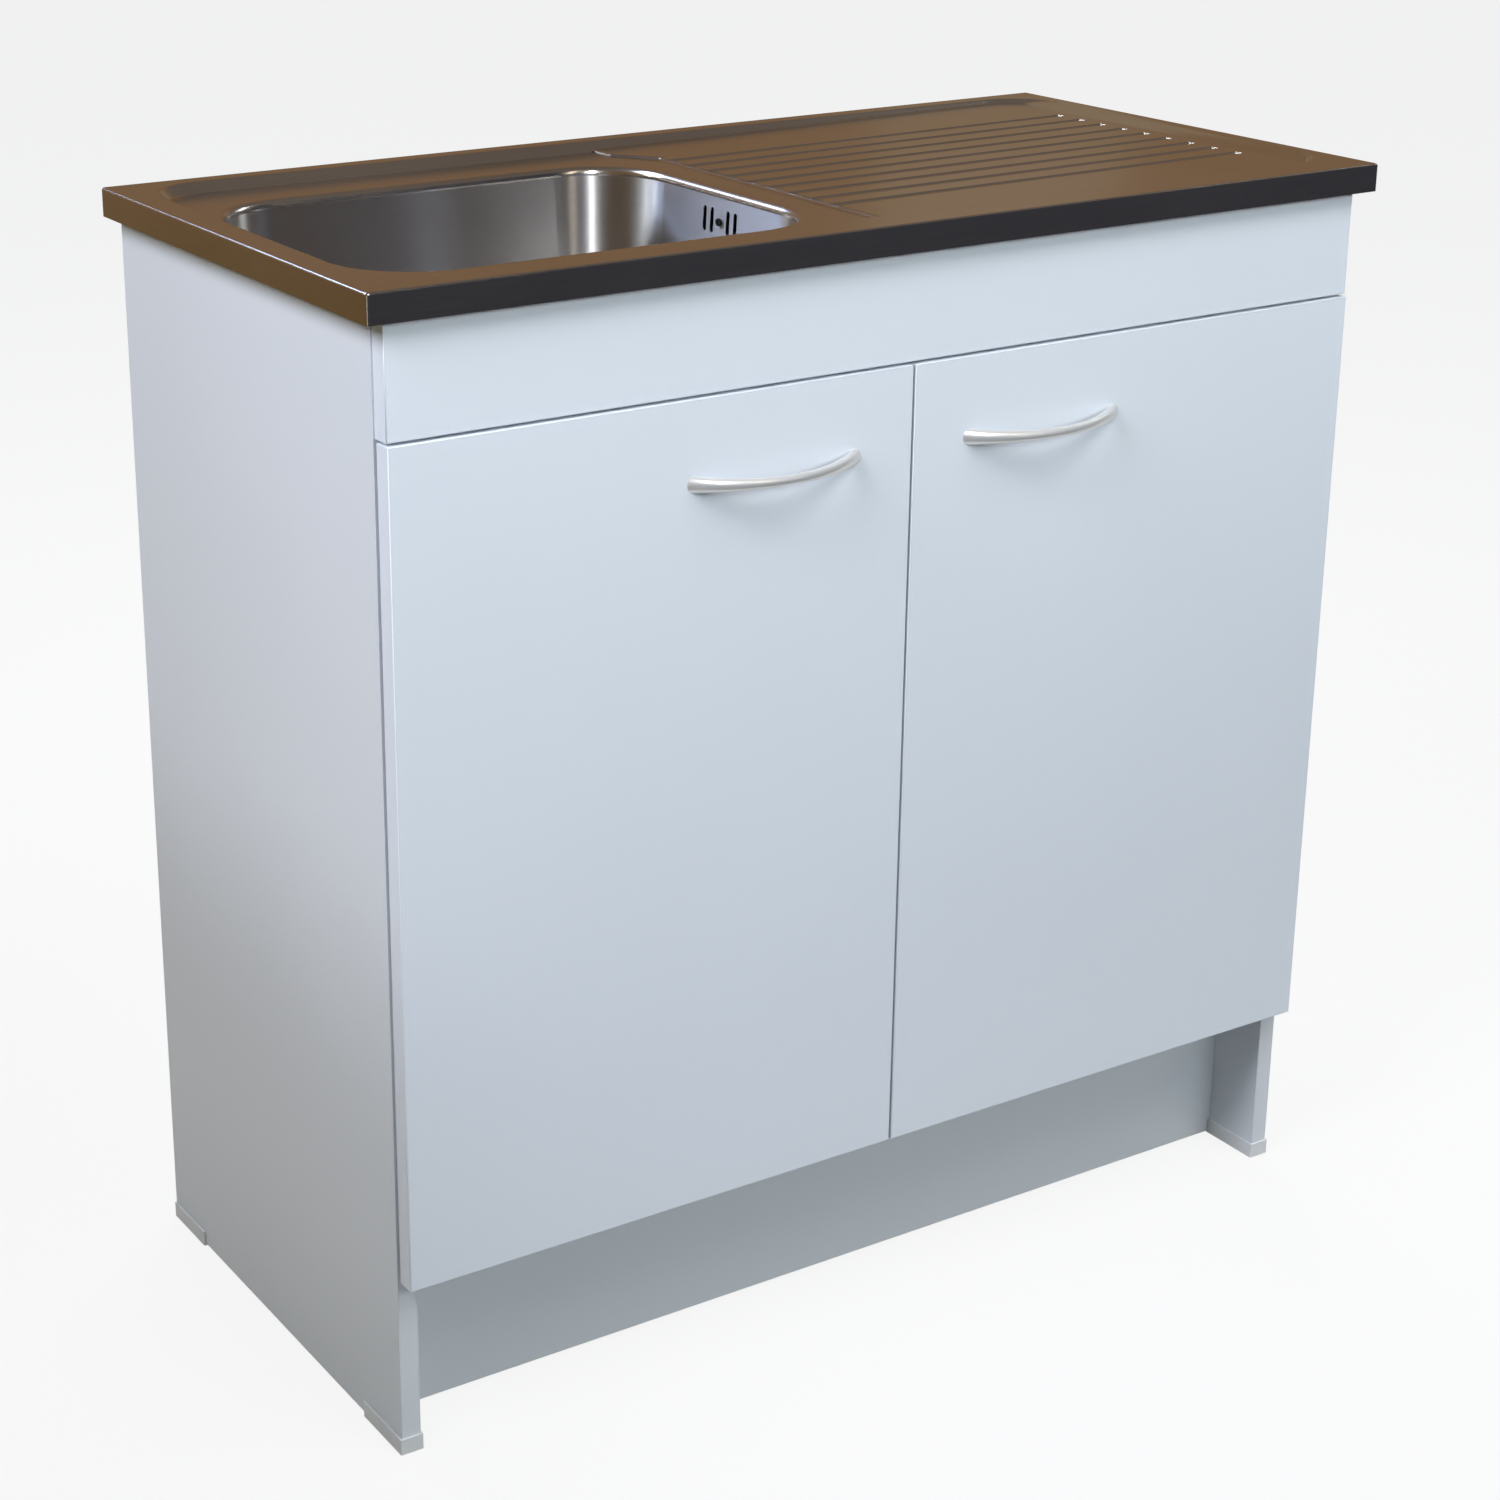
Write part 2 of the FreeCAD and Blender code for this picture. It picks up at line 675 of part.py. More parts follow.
def overflow():
    """Housing behind the slots, its seal and screw, and the pipe down to the waste body."""
    y = bowl_y
    z = unit_height - overflow_drop
    wall_x = bowl_right - bowl_lip_radius
    low = z - housing_height / 2.0
    high = z + housing_height / 2.0
    outer_x = wall_x + housing_depth
    bowl_solid = bowl_air(sheet)
    seal_face = wall_x + overflow_gasket + sheet
    seal = box(wall_x - bowl_draft, seal_face, y - housing_width / 2.0,
               y + housing_width / 2.0, low, high)
    window = box(wall_x - bowl_draft, seal_face, y - housing_width / 2.0 + seal_rim,
                 y + housing_width / 2.0 - seal_rim, low + seal_rim, high - seal_rim)
    save("overflow_gasket", [seal.cut(bowl_solid).cut(window)])

    shell = box(seal_face, outer_x, y - housing_width / 2.0, y + housing_width / 2.0, low, high)
    room = box(seal_face, outer_x - housing_wall, y - housing_width / 2.0 + housing_wall,
               y + housing_width / 2.0 - housing_wall, low + housing_wall, high - housing_wall)
    pipe_x = seal_face + housing_wall + spigot_radius
    boss = rod(overflow_boss_radius, V(seal_face, y, z), V(1, 0, 0), outer_x - seal_face)
    spigot = upright(spigot_radius, pipe_x, y, low - spigot_length, low + housing_wall)
    drain = upright(spigot_radius - spigot_wall, pipe_x, y, low - spigot_length, low + housing_wall)
    housing = joined([shell.cut(room), boss, spigot]).cut(drain)
    thread = rod(overflow_screw_radius + screw_gap, V(seal_face, y, z), V(1, 0, 0),
                 outer_x - seal_face - housing_wall)
    save("overflow_housing", [housing.cut(thread)])

    lean = bowl_draft / bowl_depth * (ledge_z - z)
    face_x = wall_x - lean
    seat_x = face_x - overflow_head_standoff
    fixing = screw(V(seat_x, y, z), V(1, 0, 0), outer_x - housing_wall - bore_end_gap - face_x,
                   overflow_screw_radius, overflow_head_radius, overflow_head_height)
    save("overflow_screw", [fixing])

    start = V(bowl_x + waste_body_radius + hose_from_body, y, pipe_level)
    bend = pipe_bend_radius
    turn = bend * math.sqrt(0.5)
    corner = V(pipe_x - bend, y, pipe_level)
    middle = V(pipe_x - bend + turn, y, pipe_level + bend - turn)
    rise = V(pipe_x, y, pipe_level + bend)
    end = V(pipe_x, y, low - housing_wall)
    route = Part.Wire([Part.LineSegment(start, corner).toShape(),
                       Part.Arc(corner, middle, rise).toShape(),
                       Part.LineSegment(rise, end).toShape()])
    inner = spigot_radius + hose_gap

    def tube(radius):
        circle = Part.Wire([Part.makeCircle(radius, start, V(1, 0, 0))])
        return route.makePipeShell([circle], True, False)

    save("overflow_pipe", [tube(inner + pipe_wall).cut(tube(inner))])


# ---------------------------------------------------------------- knock-down fittings
def board_fixings():
    """Where each board meets the side panels: cam bores, bolts and dowels on the right-hand end.

    Each entry is the axis height, the axis depth, the direction that the cam's bore opens to,
    and the direction along the board's edge to the dowels."""
    down = V(0, 0, -1)
    back = V(0, 1, 0)
    ahead = V(0, -1, 0)
    along = V(0, 1, 0)
    up = V(0, 0, 1)
    half = board / 2.0
    return [
        (V(0, carcass_front + cam_end_margin, base_height + half), down, along, dowel_from_cam),
        (V(0, carcass_back - cam_end_margin, base_height + half), down, along, -dowel_from_cam),
        (V(0, carcass_front + half, carcass_top - front_rail_height / 2.0), back, up,
         rail_dowel_from_cam),
        (V(0, carcass_back - half, carcass_top - rear_rail_height / 2.0), ahead, up,
         rail_dowel_from_cam),
    ]


def fixing_solids():
    """Cams, bolts and dowels with the bores that they need, for the right end and its mirror."""
    cams = []
    bolts = []
    dowels = []
    board_bores = []
    panel_bores = []
    for axis, opens, along, spread in board_fixings():
        face = V(panel_inner, axis.y, axis.z)
        centre = face - V(cam_from_end, 0, 0)
        mouth = centre + opens * (board / 2.0)
        cam = rod(cam_radius, mouth, opens * -1.0, cam_height)
        notch_start = centre - V(cam_bolt_radius, 0, 0)
        notch = box(notch_start.x, centre.x + cam_radius + 1.0, axis.y - cam_notch / 2.0,
                    axis.y + cam_notch / 2.0, axis.z - cam_notch / 2.0, axis.z + cam_notch / 2.0)
        cams.append(cam.cut(notch))
        board_bores.append(rod(cam_radius + cam_gap, mouth, opens * -1.0, cam_height + seat_gap))
        bolt = rod(cam_bolt_radius, centre, V(1, 0, 0), cam_from_end)
        thread = rod(cam_bolt_radius - cam_bolt_step, face, V(1, 0, 0), cam_bolt_thread)
        bolts.append(bolt.fuse(thread))
        board_bores.append(rod(cam_bolt_radius + cam_gap, centre, V(1, 0, 0), cam_from_end))
        panel_bores.append(rod(cam_bolt_radius - cam_bolt_step + screw_gap, face, V(1, 0, 0),
                               cam_bolt_thread + bore_end_gap))
        sides = (1,) if along.y else (-1, 1)
        for side in sides:
            start = face + along * (side * spread)
            inward = dowel_length - dowel_in_panel
            dowels.append(rod(dowel_radius, start - V(inward, 0, 0), V(1, 0, 0), dowel_length))
            board_bores.append(rod(dowel_radius + dowel_gap, start - V(inward + bore_end_gap, 0, 0),
                                   V(1, 0, 0), inward + bore_end_gap))
            panel_bores.append(rod(dowel_radius + dowel_gap, start, V(1, 0, 0),
                                   dowel_in_panel + bore_end_gap))
    return cams, bolts, dowels, board_bores, panel_bores


def both_sides(shapes):
    return shapes + [mirrored(shape) for shape in shapes]


# ---------------------------------------------------------------- carcass
def foot_shoes():
    """Plastic shoes under both ends of each side panel, each nailed up into the board."""
    nails = []
    holes = []
    ends = (("front", carcass_front, carcass_front + shoe_length, -1),
            ("rear", carcass_back - shoe_length, carcass_back, 0))
    for name, y0, y1, stop in ends:
        wall_front = y0 - shoe_wall if stop else y0
        outer = box(panel_inner - shoe_wall - shoe_gap, panel_outer + shoe_wall + shoe_gap,
                    wall_front, y1, 0, shoe_height)
        trough = box(panel_inner - shoe_gap, panel_outer + shoe_gap, y0, y1, panel_lift, shoe_height)
        x = (panel_inner + panel_outer) / 2.0
        y = (y0 + y1) / 2.0
        low = shoe_nail_sink
        high = low + shoe_nail_head_height
        nail = upright(shoe_nail_head, x, y, low, high)
        nail = nail.fuse(upright(shoe_nail_radius, x, y, high, high + shoe_nail_length))
        hole = upright(shoe_nail_head + screw_gap, x, y, 0, high)
        hole = hole.fuse(upright(shoe_nail_radius + screw_gap, x, y, 0,
                                 high + shoe_nail_length + bore_end_gap))
        shoe = outer.cut(trough)
        full_height = shoe_height - panel_lift / 2.0
        corners = edges_where(shoe, lambda e: is_upright(e) and e.BoundBox.ZLength > full_height)
        shoe = shoe.makeFillet(shoe_corner_round, corners)
        shoe = shoe.cut(hole)
        save("foot_shoe_" + name + "_right", [shoe])
        save("foot_shoe_" + name + "_left", [mirrored(shoe)])
        nails.append(nail)
        holes.append(hole)
    save("foot_shoe_nails", both_sides(nails))
    return holes


def cabinet():
    """Side panels, base, plinth, back, rails and what joins them."""
    cams, bolts, dowels, board_bores, panel_bores = fixing_solids()
    save("cam_locks", both_sides(cams))
    save("cam_bolts", both_sides(bolts))
    save("wooden_dowels", both_sides(dowels))

    groove_front = carcass_back - back_panel_inset - back_panel_thickness
    groove = box(panel_inner - tool_overlap, panel_inner + back_panel_tongue + back_groove_slack,
                 groove_front - back_groove_slack, groove_front + back_panel_thickness
                 + back_groove_slack, base_top - tool_overlap,
                 base_top + back_panel_height + tool_overlap)
    plate_holes = [rod(plate_screw_radius + screw_gap, V(panel_inner, carcass_front +
                       plate_screw_line, z + side * plate_screw_spread), V(1, 0, 0),
                       plate_screw_depth + bore_end_gap)
                   for z in hinge_heights for side in (-1, 1)]
    block_y = carcass_front + plinth_setback + board + block_size / 2.0
    block_z = base_height - block_height / 2.0
    block_hole = rod(block_screw_radius + screw_gap, V(panel_inner, block_y, block_z), V(1, 0, 0),
                     block_screw_length - block_size + bore_end_gap)
    panel = box(panel_inner, panel_outer, carcass_front, carcass_back, panel_lift, carcass_top)
    panel = without(panel, panel_bores + plate_holes + foot_shoes() + [groove, block_hole])
    save("side_panel_right", [panel])
    save("side_panel_left", [mirrored(panel)])

    bores = both_sides(board_bores)
    base = box(-panel_inner, panel_inner, carcass_front, carcass_back, base_height, base_top)
    save("base_panel", [without(base, bores)])

    plinth_front = carcass_front + plinth_setback
    plinth_back = plinth_front + board
    plinth = box(-panel_inner, panel_inner, plinth_front, plinth_back, panel_lift, base_height)
    block_x = panel_inner - block_size / 2.0
    upper_z = block_z + block_screw_offset
    plinth_hole = rod(block_screw_radius + screw_gap, V(block_x, plinth_back, upper_z),
                      V(0, -1, 0), block_screw_length - block_size + bore_end_gap)
    notch = box(panel_inner - shoe_wall * 2.0, panel_inner, plinth_front, plinth_back, panel_lift,
                shoe_height + shoe_wall)
    save("plinth_board", [without(plinth, both_sides([plinth_hole, notch]))])

    block = box(panel_inner - block_size, panel_inner, plinth_back, plinth_back + block_size,
                base_height - block_height, base_height)
    places = [(V(panel_inner - block_size, block_y, block_z), V(1, 0, 0)),
              (V(block_x, plinth_back + block_size, upper_z), V(0, -1, 0))]
    screws = [screw(at, towards, block_screw_length, block_screw_radius,
                    block_screw_radius * head_ratio, head_height) for at, towards in places]
    through = [rod(block_screw_radius + screw_gap, at, towards, block_size)
               for at, towards in places]
    save("plinth_corner_blocks", both_sides([block.cut(through)]))
    save("plinth_block_screws", both_sides(screws))

    tongue = panel_inner + back_panel_tongue
    back = box(-tongue, tongue, groove_front, groove_front + back_panel_thickness, base_top,
               base_top + back_panel_height)
    save("back_panel", [back])

    front_screws, front_holes = false_front_fixings()
    rail = box(-panel_inner, panel_inner, carcass_front, carcass_front + board,
               carcass_top - front_rail_height, carcass_top)
    save("front_rail", [without(rail, bores + front_holes + bracket_holes())])
    save("false_front_screws", front_screws)

    rear = box(-panel_inner, panel_inner, carcass_back - board, carcass_back,
               carcass_top - rear_rail_height, carcass_top)
    wall_holes = [rod(wall_hole_radius, V(side * wall_hole_spacing / 2.0, carcass_back - board,
                      carcass_top - rear_rail_height / 2.0), V(0, 1, 0), board)
                  for side in (-1, 1)]
    save("rear_rail", [without(rear, bores + wall_holes + bracket_holes())])


def bracket_places():
    """The middle of each bracket's upright leg on a rail, and the direction into the cabinet."""
    z = carcass_top - bracket_screw_drop
    places = []
    for side in (-1, 1):
        x = side * (panel_inner - bracket_from_end)
        places.append((V(x, carcass_front + board, z), 1))
        places.append((V(x, carcass_back - board, z), -1))
    return places


def bracket_holes():
    depth = bracket_screw_length - bracket_sheet + bore_end_gap
    return [rod(bracket_screw_radius + screw_gap, at, V(0, -inward, 0), depth)
            for at, inward in bracket_places()]


def false_front_fixings():
    """Screws from inside the front rail into the false front, and the holes that they pass."""
    screws = []
    holes = []
    z = (door_top + front_gap + carcass_top) / 2.0
    for step in (-1.0, -1.0 / 3.0, 1.0 / 3.0, 1.0):
        at = V(step * (panel_inner - front_screw_margin), carcass_front + board, z)
        screws.append(screw(at, V(0, -1, 0), front_screw_length, front_screw_radius,
                            front_screw_radius * head_ratio, head_height))
        holes.append(rod(front_screw_radius + screw_gap, at, V(0, -1, 0),
                         front_screw_length + bore_end_gap))
    return screws, holes


def supports():
    """Wood strips that carry the steel on the carcass, and the brackets that hold them down."""
    outer = sheet + rim_return + seat_gap
    ledge_under = ledge_z - sheet - rest_slack
    low = carcass_top
    x0 = top_left + outer
    x1 = x0 + side_strip_width
    y0 = top_front + outer
    y1 = top_back - outer
    left = box(x0, x1, y0, y1, low, ledge_under)
    save("support_strip_left", [left])
    right_top = drainer_high_z - sheet - groove_end_depth
    right = box(-x1, -x0, y0, y1, low, right_top)
    save("support_strip_right", [right])
    front_inner = y0 + front_strip_width
    rear_inner = y1 - rear_strip_width
    front = box(x1, -x1, y0, front_inner, low, ledge_under)
    rear = box(x1, -x1, rear_inner, y1, low, ledge_under)
    save("support_strip_front", [front])
    save("support_strip_rear", [rear])
    cross_left = drainer_left + drainer_strip_from_step
    cross_top = groove_floor_z(cross_left) - sheet - rest_slack
    cross = box(cross_left, cross_left + drainer_strip_width, front_inner, rear_inner, low, cross_top)
    save("support_strip_drainer", [cross])

    brackets = []
    screws = []
    half = bracket_width / 2.0
    for face, inward in bracket_places():
        leg_y = sorted((face.y, face.y + inward * bracket_sheet))
        foot_y = sorted((face.y, face.y + inward * bracket_leg))
        drop = box(face.x - half, face.x + half, leg_y[0], leg_y[1], low - bracket_drop, low)
        foot = box(face.x - half, face.x + half, foot_y[0], foot_y[1], low - bracket_sheet, low)
        head_at = face + V(0, inward * bracket_sheet, 0)
        into = V(0, -inward, 0)
        screws.append(screw(head_at, into, bracket_screw_length, bracket_screw_radius,
                            bracket_screw_radius * head_ratio, thin_head_height))
        hole = rod(bracket_screw_radius + screw_gap, head_at, into, bracket_sheet)
        brackets.append(drop.fuse(foot).removeSplitter().cut(hole))
    save("top_brackets", brackets)
    save("bracket_screws", screws)


# ---------------------------------------------------------------- fronts
def handle_shape():
    """A bow pull with flared feet, about its own middle on the door's face, reaching to -Y."""
    half = handle_length / 2.0
    radius = (half * half + handle_reach * handle_reach) / (2.0 * handle_reach)
    centre_y = radius - handle_reach
    foot_angle = math.asin(half / radius)
    past_face = foot_angle * handle_past_face
    sections = []
    for step in range(-handle_steps, handle_steps + 1):
        share = abs(step) / handle_steps
        angle = past_face * step / handle_steps
        thick = handle_thickness + (handle_foot_thickness - handle_thickness) * share * share
        tall = handle_middle_height + (handle_end_height - handle_middle_height) * share * share
        outwards = V(math.sin(angle), -math.cos(angle), 0)
        middle = V(0, centre_y, 0) + outwards * (radius - thick / 2.0)
        along = V(math.cos(angle), math.sin(angle), 0)
        longer = max(tall, thick)
        shorter = min(tall, thick)
        towards = V(0, 0, 1) if tall >= thick else outwards
        oval = Part.Ellipse(middle + towards * (longer / 2.0),
                            middle + towards.cross(along) * (shorter / 2.0), middle)
        sections.append(Part.Wire([oval.toShape()]))
    bow = Part.makeLoft(sections, True, False)
    behind = box(-handle_length, handle_length, 0, handle_reach, -handle_length, handle_length)
    bow = bow.cut(behind)
    depth = handle_screw_reach + bore_end_gap
    for side in (-1, 1):
        x = side * handle_hole_spacing / 2.0
        bow = bow.cut(rod(handle_screw_radius + screw_gap, V(x, 0, 0), V(0, -1, 0), depth))
    return bow


def hinge_place(x, y, z):
    """A point given from the right panel's outer face and front edge, for a right-hand hinge."""
    return V(panel_outer - x, carcass_front + y, z)


def hinge_rod(radius, x, y, z0, z1):
    return rod(radius, hinge_place(x, y, z0), V(0, 0, 1), z1 - z0)


def hinge_box(x0, x1, y0, y1, z0, z1):
    return box(panel_outer - x1, panel_outer - x0, carcass_front + y0, carcass_front + y1, z0, z1)


def hinge_strut(x0, y0, x1, y1, thickness, z0, z1):
    """A flat bar between two pins, of the given thickness across the bar."""
    start = hinge_place(x0, y0, z0)
    end = hinge_place(x1, y1, z0)
    along = end - start
    side = V(-along.y, along.x, 0).normalize() * (thickness / 2.0)
    face = polygon_face([start + side, end + side, end - side, start - side])
    return face.extrude(V(0, 0, z1 - z0))


def hinge(z):
    """One right-hand hinge: cup, link, pins, arm, mounting plate and screws, at height z."""
    half = link_width / 2.0
    cheek = half + arm_side_gap
    side = cheek + arm_sheet
    back = -door_standoff
    parts = {}

    cup = rod(cup_radius, hinge_place(cup_from_panel, back, z), V(0, -1, 0), cup_depth)
    wing = hinge_box(cup_from_panel - cup_flange_width / 2.0, cup_from_panel + cup_flange_width / 2.0,
                     back, back + cup_flange_sheet, z - cup_flange_height, z + cup_flange_height)
    through_sheet = [e for e in wing.Edges if e.BoundBox.YLength > cup_flange_sheet / 2.0
                     and e.BoundBox.XLength < 0.001]
    wing = wing.makeFillet(cup_flange_corner, through_sheet)
    rim = rod(cup_radius + cup_rim, hinge_place(cup_from_panel, back, z), V(0, 1, 0), cup_flange_sheet)
    hollow = rod(cup_radius - cup_wall, hinge_place(cup_from_panel, back + cup_flange_sheet, z),
                 V(0, -1, 0), cup_depth + cup_flange_sheet - cup_wall)
    ear = hinge_rod(link_eye_radius, cup_pin_x, cup_pin_y, z - cup_radius, z + cup_radius)
    ear = ear.cut(hinge_rod(link_eye_radius + cup_ear_wall, cup_pin_x, cup_pin_y, z - cheek, z + cheek))
    barrel = rod(cup_radius, hinge_place(cup_from_panel, back, z), V(0, -1, 0), cup_depth)
    body = joined([cup, wing, rim]).cut(hollow)
    body = joined([body, ear.common(barrel)])
    pin_hole = hinge_rod(hinge_pin_radius + pin_gap, cup_pin_x, cup_pin_y,
                         z - cup_pin_half - seat_gap, z + cup_pin_half + seat_gap)
    screw_holes = [rod(cup_screw_radius + screw_gap, hinge_place(cup_from_panel, back +
                       cup_flange_sheet, z + end * cup_screw_spread), V(0, -1, 0), cup_flange_sheet)
                   for end in (-1, 1)]
    parts["cup"] = without(body, [pin_hole] + screw_holes)
    parts["cup_screws"] = [
        screw(hinge_place(cup_from_panel, back + cup_flange_sheet, z + end * cup_screw_spread),
              V(0, -1, 0), cup_screw_length, cup_screw_radius, cup_screw_radius * head_ratio,
              flush_head_height)
        for end in (-1, 1)]

    eyes = [hinge_rod(link_eye_radius, x, y, z - half, z + half)
            for x, y in ((arm_pin_x, arm_pin_y), (cup_pin_x, cup_pin_y))]
    elbow = hinge_rod(link_thickness / 2.0, link_bend_x, link_bend_y, z - half, z + half)
    struts = [
        hinge_strut(cup_pin_x, cup_pin_y, link_bend_x, link_bend_y, link_thickness, z - half, z + half),
        hinge_strut(link_bend_x, link_bend_y, arm_pin_x, arm_pin_y, link_thickness, z - half, z + half),
    ]
    link = joined(eyes + [elbow] + struts)
    eye_holes = [hinge_rod(hinge_pin_radius + screw_gap, x, y, z - half, z + half)
                 for x, y in ((arm_pin_x, arm_pin_y), (cup_pin_x, cup_pin_y))]
    parts["link"] = without(link, eye_holes)
    parts["pins"] = [hinge_rod(hinge_pin_radius, arm_pin_x, arm_pin_y, z - side, z + side),
                     hinge_rod(hinge_pin_radius, cup_pin_x, cup_pin_y, z - cup_pin_half, z + cup_pin_half)]

    web_inner = board + arm_height - arm_sheet
    web_outer = board + arm_height
    cheeks = []
    for low, high in ((z - side, z - cheek), (z + cheek, z + side)):
        cheeks.append(hinge_rod(arm_eye_radius, arm_pin_x, arm_pin_y, low, high))
        cheeks.append(hinge_box(arm_pin_x - arm_eye_radius, web_outer, arm_pin_y,
                                arm_front + arm_eye_radius, low, high))
        cheeks.append(hinge_box(board + arm_lift, web_outer, arm_front, arm_back, low, high))
    web = hinge_box(web_inner, web_outer, arm_front, arm_back, z - side, z + side)
    arm = joined([web] + cheeks)
    pin_hole = hinge_rod(hinge_pin_radius + pin_gap, arm_pin_x, arm_pin_y, z - side, z + side)
    arm_hole = rod(cup_screw_radius + screw_gap, hinge_place(web_inner, arm_screw_y, z),
                   V(-1, 0, 0), arm_sheet)
    parts["arm"] = without(arm, [pin_hole, arm_hole])

    wings = hinge_box(board, board + plate_wing_sheet, plate_screw_line - plate_wing_length / 2.0,
                      plate_screw_line + plate_wing_length / 2.0, z - plate_wing_height,
                      z + plate_wing_height)
    spine = hinge_box(board, web_inner, plate_front, plate_back, z - half, z + half)
    blind = rod(cup_screw_radius + screw_gap, hinge_place(web_inner, arm_screw_y, z), V(1, 0, 0),
                plate_clamp_depth + bore_end_gap)
    wing_holes = [rod(plate_screw_radius + screw_gap, hinge_place(board + plate_wing_sheet,
                      plate_screw_line, z + end * plate_screw_spread), V(1, 0, 0), plate_wing_sheet)
                  for end in (-1, 1)]
    parts["plate"] = without(joined([wings, spine]), [blind] + wing_holes)
    parts["plate_screws"] = [
        screw(hinge_place(board + plate_wing_sheet, plate_screw_line, z + end * plate_screw_spread),
              V(1, 0, 0), plate_screw_depth + plate_wing_sheet, plate_screw_radius,
              plate_screw_radius * head_ratio, head_height)
        for end in (-1, 1)]
    parts["plate_screws"].append(
        screw(hinge_place(web_outer, arm_screw_y, z), V(1, 0, 0), plate_clamp_depth + arm_sheet,
              cup_screw_radius, cup_screw_radius * head_ratio, thin_head_height))
    return parts


def fronts():
    """Doors with their handles and hinges, the false front and the door buffers."""
    hinges = [hinge(z) for z in hinge_heights]
    door = box(door_inner, door_outer, door_front, door_back, base_height, door_top)
    door = door.makeFillet(front_edge_round, [e for e in door.Edges
                                              if abs(e.BoundBox.YMax - door_front) < 0.001])
    cuts = []
    for z in hinge_heights:
        cuts.append(rod(cup_radius + cup_gap, hinge_place(cup_from_panel, -door_standoff, z),
                        V(0, -1, 0), cup_depth + cup_gap))
        for end in (-1, 1):
            cuts.append(rod(cup_screw_radius + screw_gap, hinge_place(cup_from_panel,
                        -door_standoff, z + end * cup_screw_spread), V(0, -1, 0), cup_screw_length))
    screws = []
    for side in (-1, 1):
        x = handle_from_middle + side * handle_hole_spacing / 2.0
        cuts.append(rod(handle_screw_radius + screw_gap, V(x, door_back, handle_z), V(0, -1, 0),
                        door_thickness))
        screws.append(screw(V(x, door_back, handle_z), V(0, -1, 0),
                            door_thickness + handle_screw_reach, handle_screw_radius,
                            handle_screw_radius * head_ratio, thin_head_height))
    door = without(door, cuts)
    handle = handle_shape()
    handle.translate(V(handle_from_middle, door_front, handle_z))
    one_side = {
        "door": [door],
        "handle": [handle],
        "handle_screws": screws,
        "hinge_cups": [part["cup"] for part in hinges],
        "hinge_cup_screws": [s for part in hinges for s in part["cup_screws"]],
        "hinge_links": [part["link"] for part in hinges],
        "hinge_pins": [p for part in hinges for p in part["pins"]],
    }
    for name, solids in one_side.items():
        save(name + "_right", solids)
        save(name + "_left", [mirrored(solid) for solid in solids])
    save("hinge_arms", both_sides([part["arm"] for part in hinges]))
    save("hinge_plates", both_sides([part["plate"] for part in hinges]))
    save("hinge_plate_screws", both_sides([s for part in hinges for s in part["plate_screws"]]))

    front = box(-door_outer, door_outer, carcass_front - board, carcass_front,
                door_top + front_gap, carcass_top - false_front_drop)
    front = front.makeFillet(front_edge_round, [e for e in front.Edges if
                                                abs(e.BoundBox.YMax - carcass_front + board) < 0.001])
    save("false_front", [without(front, false_front_fixings()[1])])

    thick = door_standoff - seat_gap
    dots = []
    for z in (base_height + board / 2.0, door_top - buffer_from_top):
        for x in (door_inner + buffer_from_edge, panel_inner - buffer_from_edge):
            dots.append(rod(buffer_radius, V(x, carcass_front, z), V(0, -1, 0), thick))
    save("door_buffers", both_sides(dots))


steel_top()
sound_pad()
waste()
overflow()
cabinet()
supports()
fronts()
print(len(os.listdir("parts")), "nodes written")
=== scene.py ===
# %% [markdown]
# # A kitchen sink unit
# The unit is a white two-door cabinet under a pressed stainless top. Its boards, hinges, steel and
# plumbing come from the frame at their real size. This lesson gives each of them its finish, sets
# a small studio round them and remodels the parts whose surface needs finer modelling than the
# frame has. Everything is in metres, with the front facing -Y and the floor at Z = 0.

# %% Load the frame
import json
import math

import bmesh
import bpy
from mathutils import Matrix, Vector


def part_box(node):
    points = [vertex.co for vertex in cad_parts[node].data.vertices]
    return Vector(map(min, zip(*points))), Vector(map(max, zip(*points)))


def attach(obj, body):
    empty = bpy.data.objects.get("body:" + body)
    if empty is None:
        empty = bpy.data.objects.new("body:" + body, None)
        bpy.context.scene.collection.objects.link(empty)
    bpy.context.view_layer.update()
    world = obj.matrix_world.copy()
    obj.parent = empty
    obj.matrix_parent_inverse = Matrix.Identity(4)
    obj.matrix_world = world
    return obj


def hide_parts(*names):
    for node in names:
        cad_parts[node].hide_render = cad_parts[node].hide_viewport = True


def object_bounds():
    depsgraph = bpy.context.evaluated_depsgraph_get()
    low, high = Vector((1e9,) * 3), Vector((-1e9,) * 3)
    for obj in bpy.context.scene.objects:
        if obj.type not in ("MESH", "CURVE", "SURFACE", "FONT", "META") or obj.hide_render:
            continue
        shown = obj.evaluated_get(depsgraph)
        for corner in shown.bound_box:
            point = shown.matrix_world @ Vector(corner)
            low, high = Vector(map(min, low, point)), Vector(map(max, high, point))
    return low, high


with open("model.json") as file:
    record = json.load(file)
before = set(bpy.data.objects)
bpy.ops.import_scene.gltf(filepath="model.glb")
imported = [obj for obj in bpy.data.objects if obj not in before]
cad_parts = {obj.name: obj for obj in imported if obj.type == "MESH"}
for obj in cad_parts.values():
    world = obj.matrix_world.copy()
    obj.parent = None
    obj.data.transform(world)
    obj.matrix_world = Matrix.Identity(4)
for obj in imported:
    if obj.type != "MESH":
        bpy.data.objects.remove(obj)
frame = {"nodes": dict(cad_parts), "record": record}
frame_box = [list(corner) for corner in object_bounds()]
NODES = frame["nodes"]
BODY_OF = {node: body for body, nodes in frame["record"]["behaviour"]["bodies"].items() for node in nodes}
SLOT_OF = {part["node"]: part["material_slot"] for part in frame["record"]["subparts"]}
low, high = (Vector(corner) for corner in frame_box)
size = high - low
print("frame:", len(NODES), "nodes,", [round(side, 3) for side in size], "m")

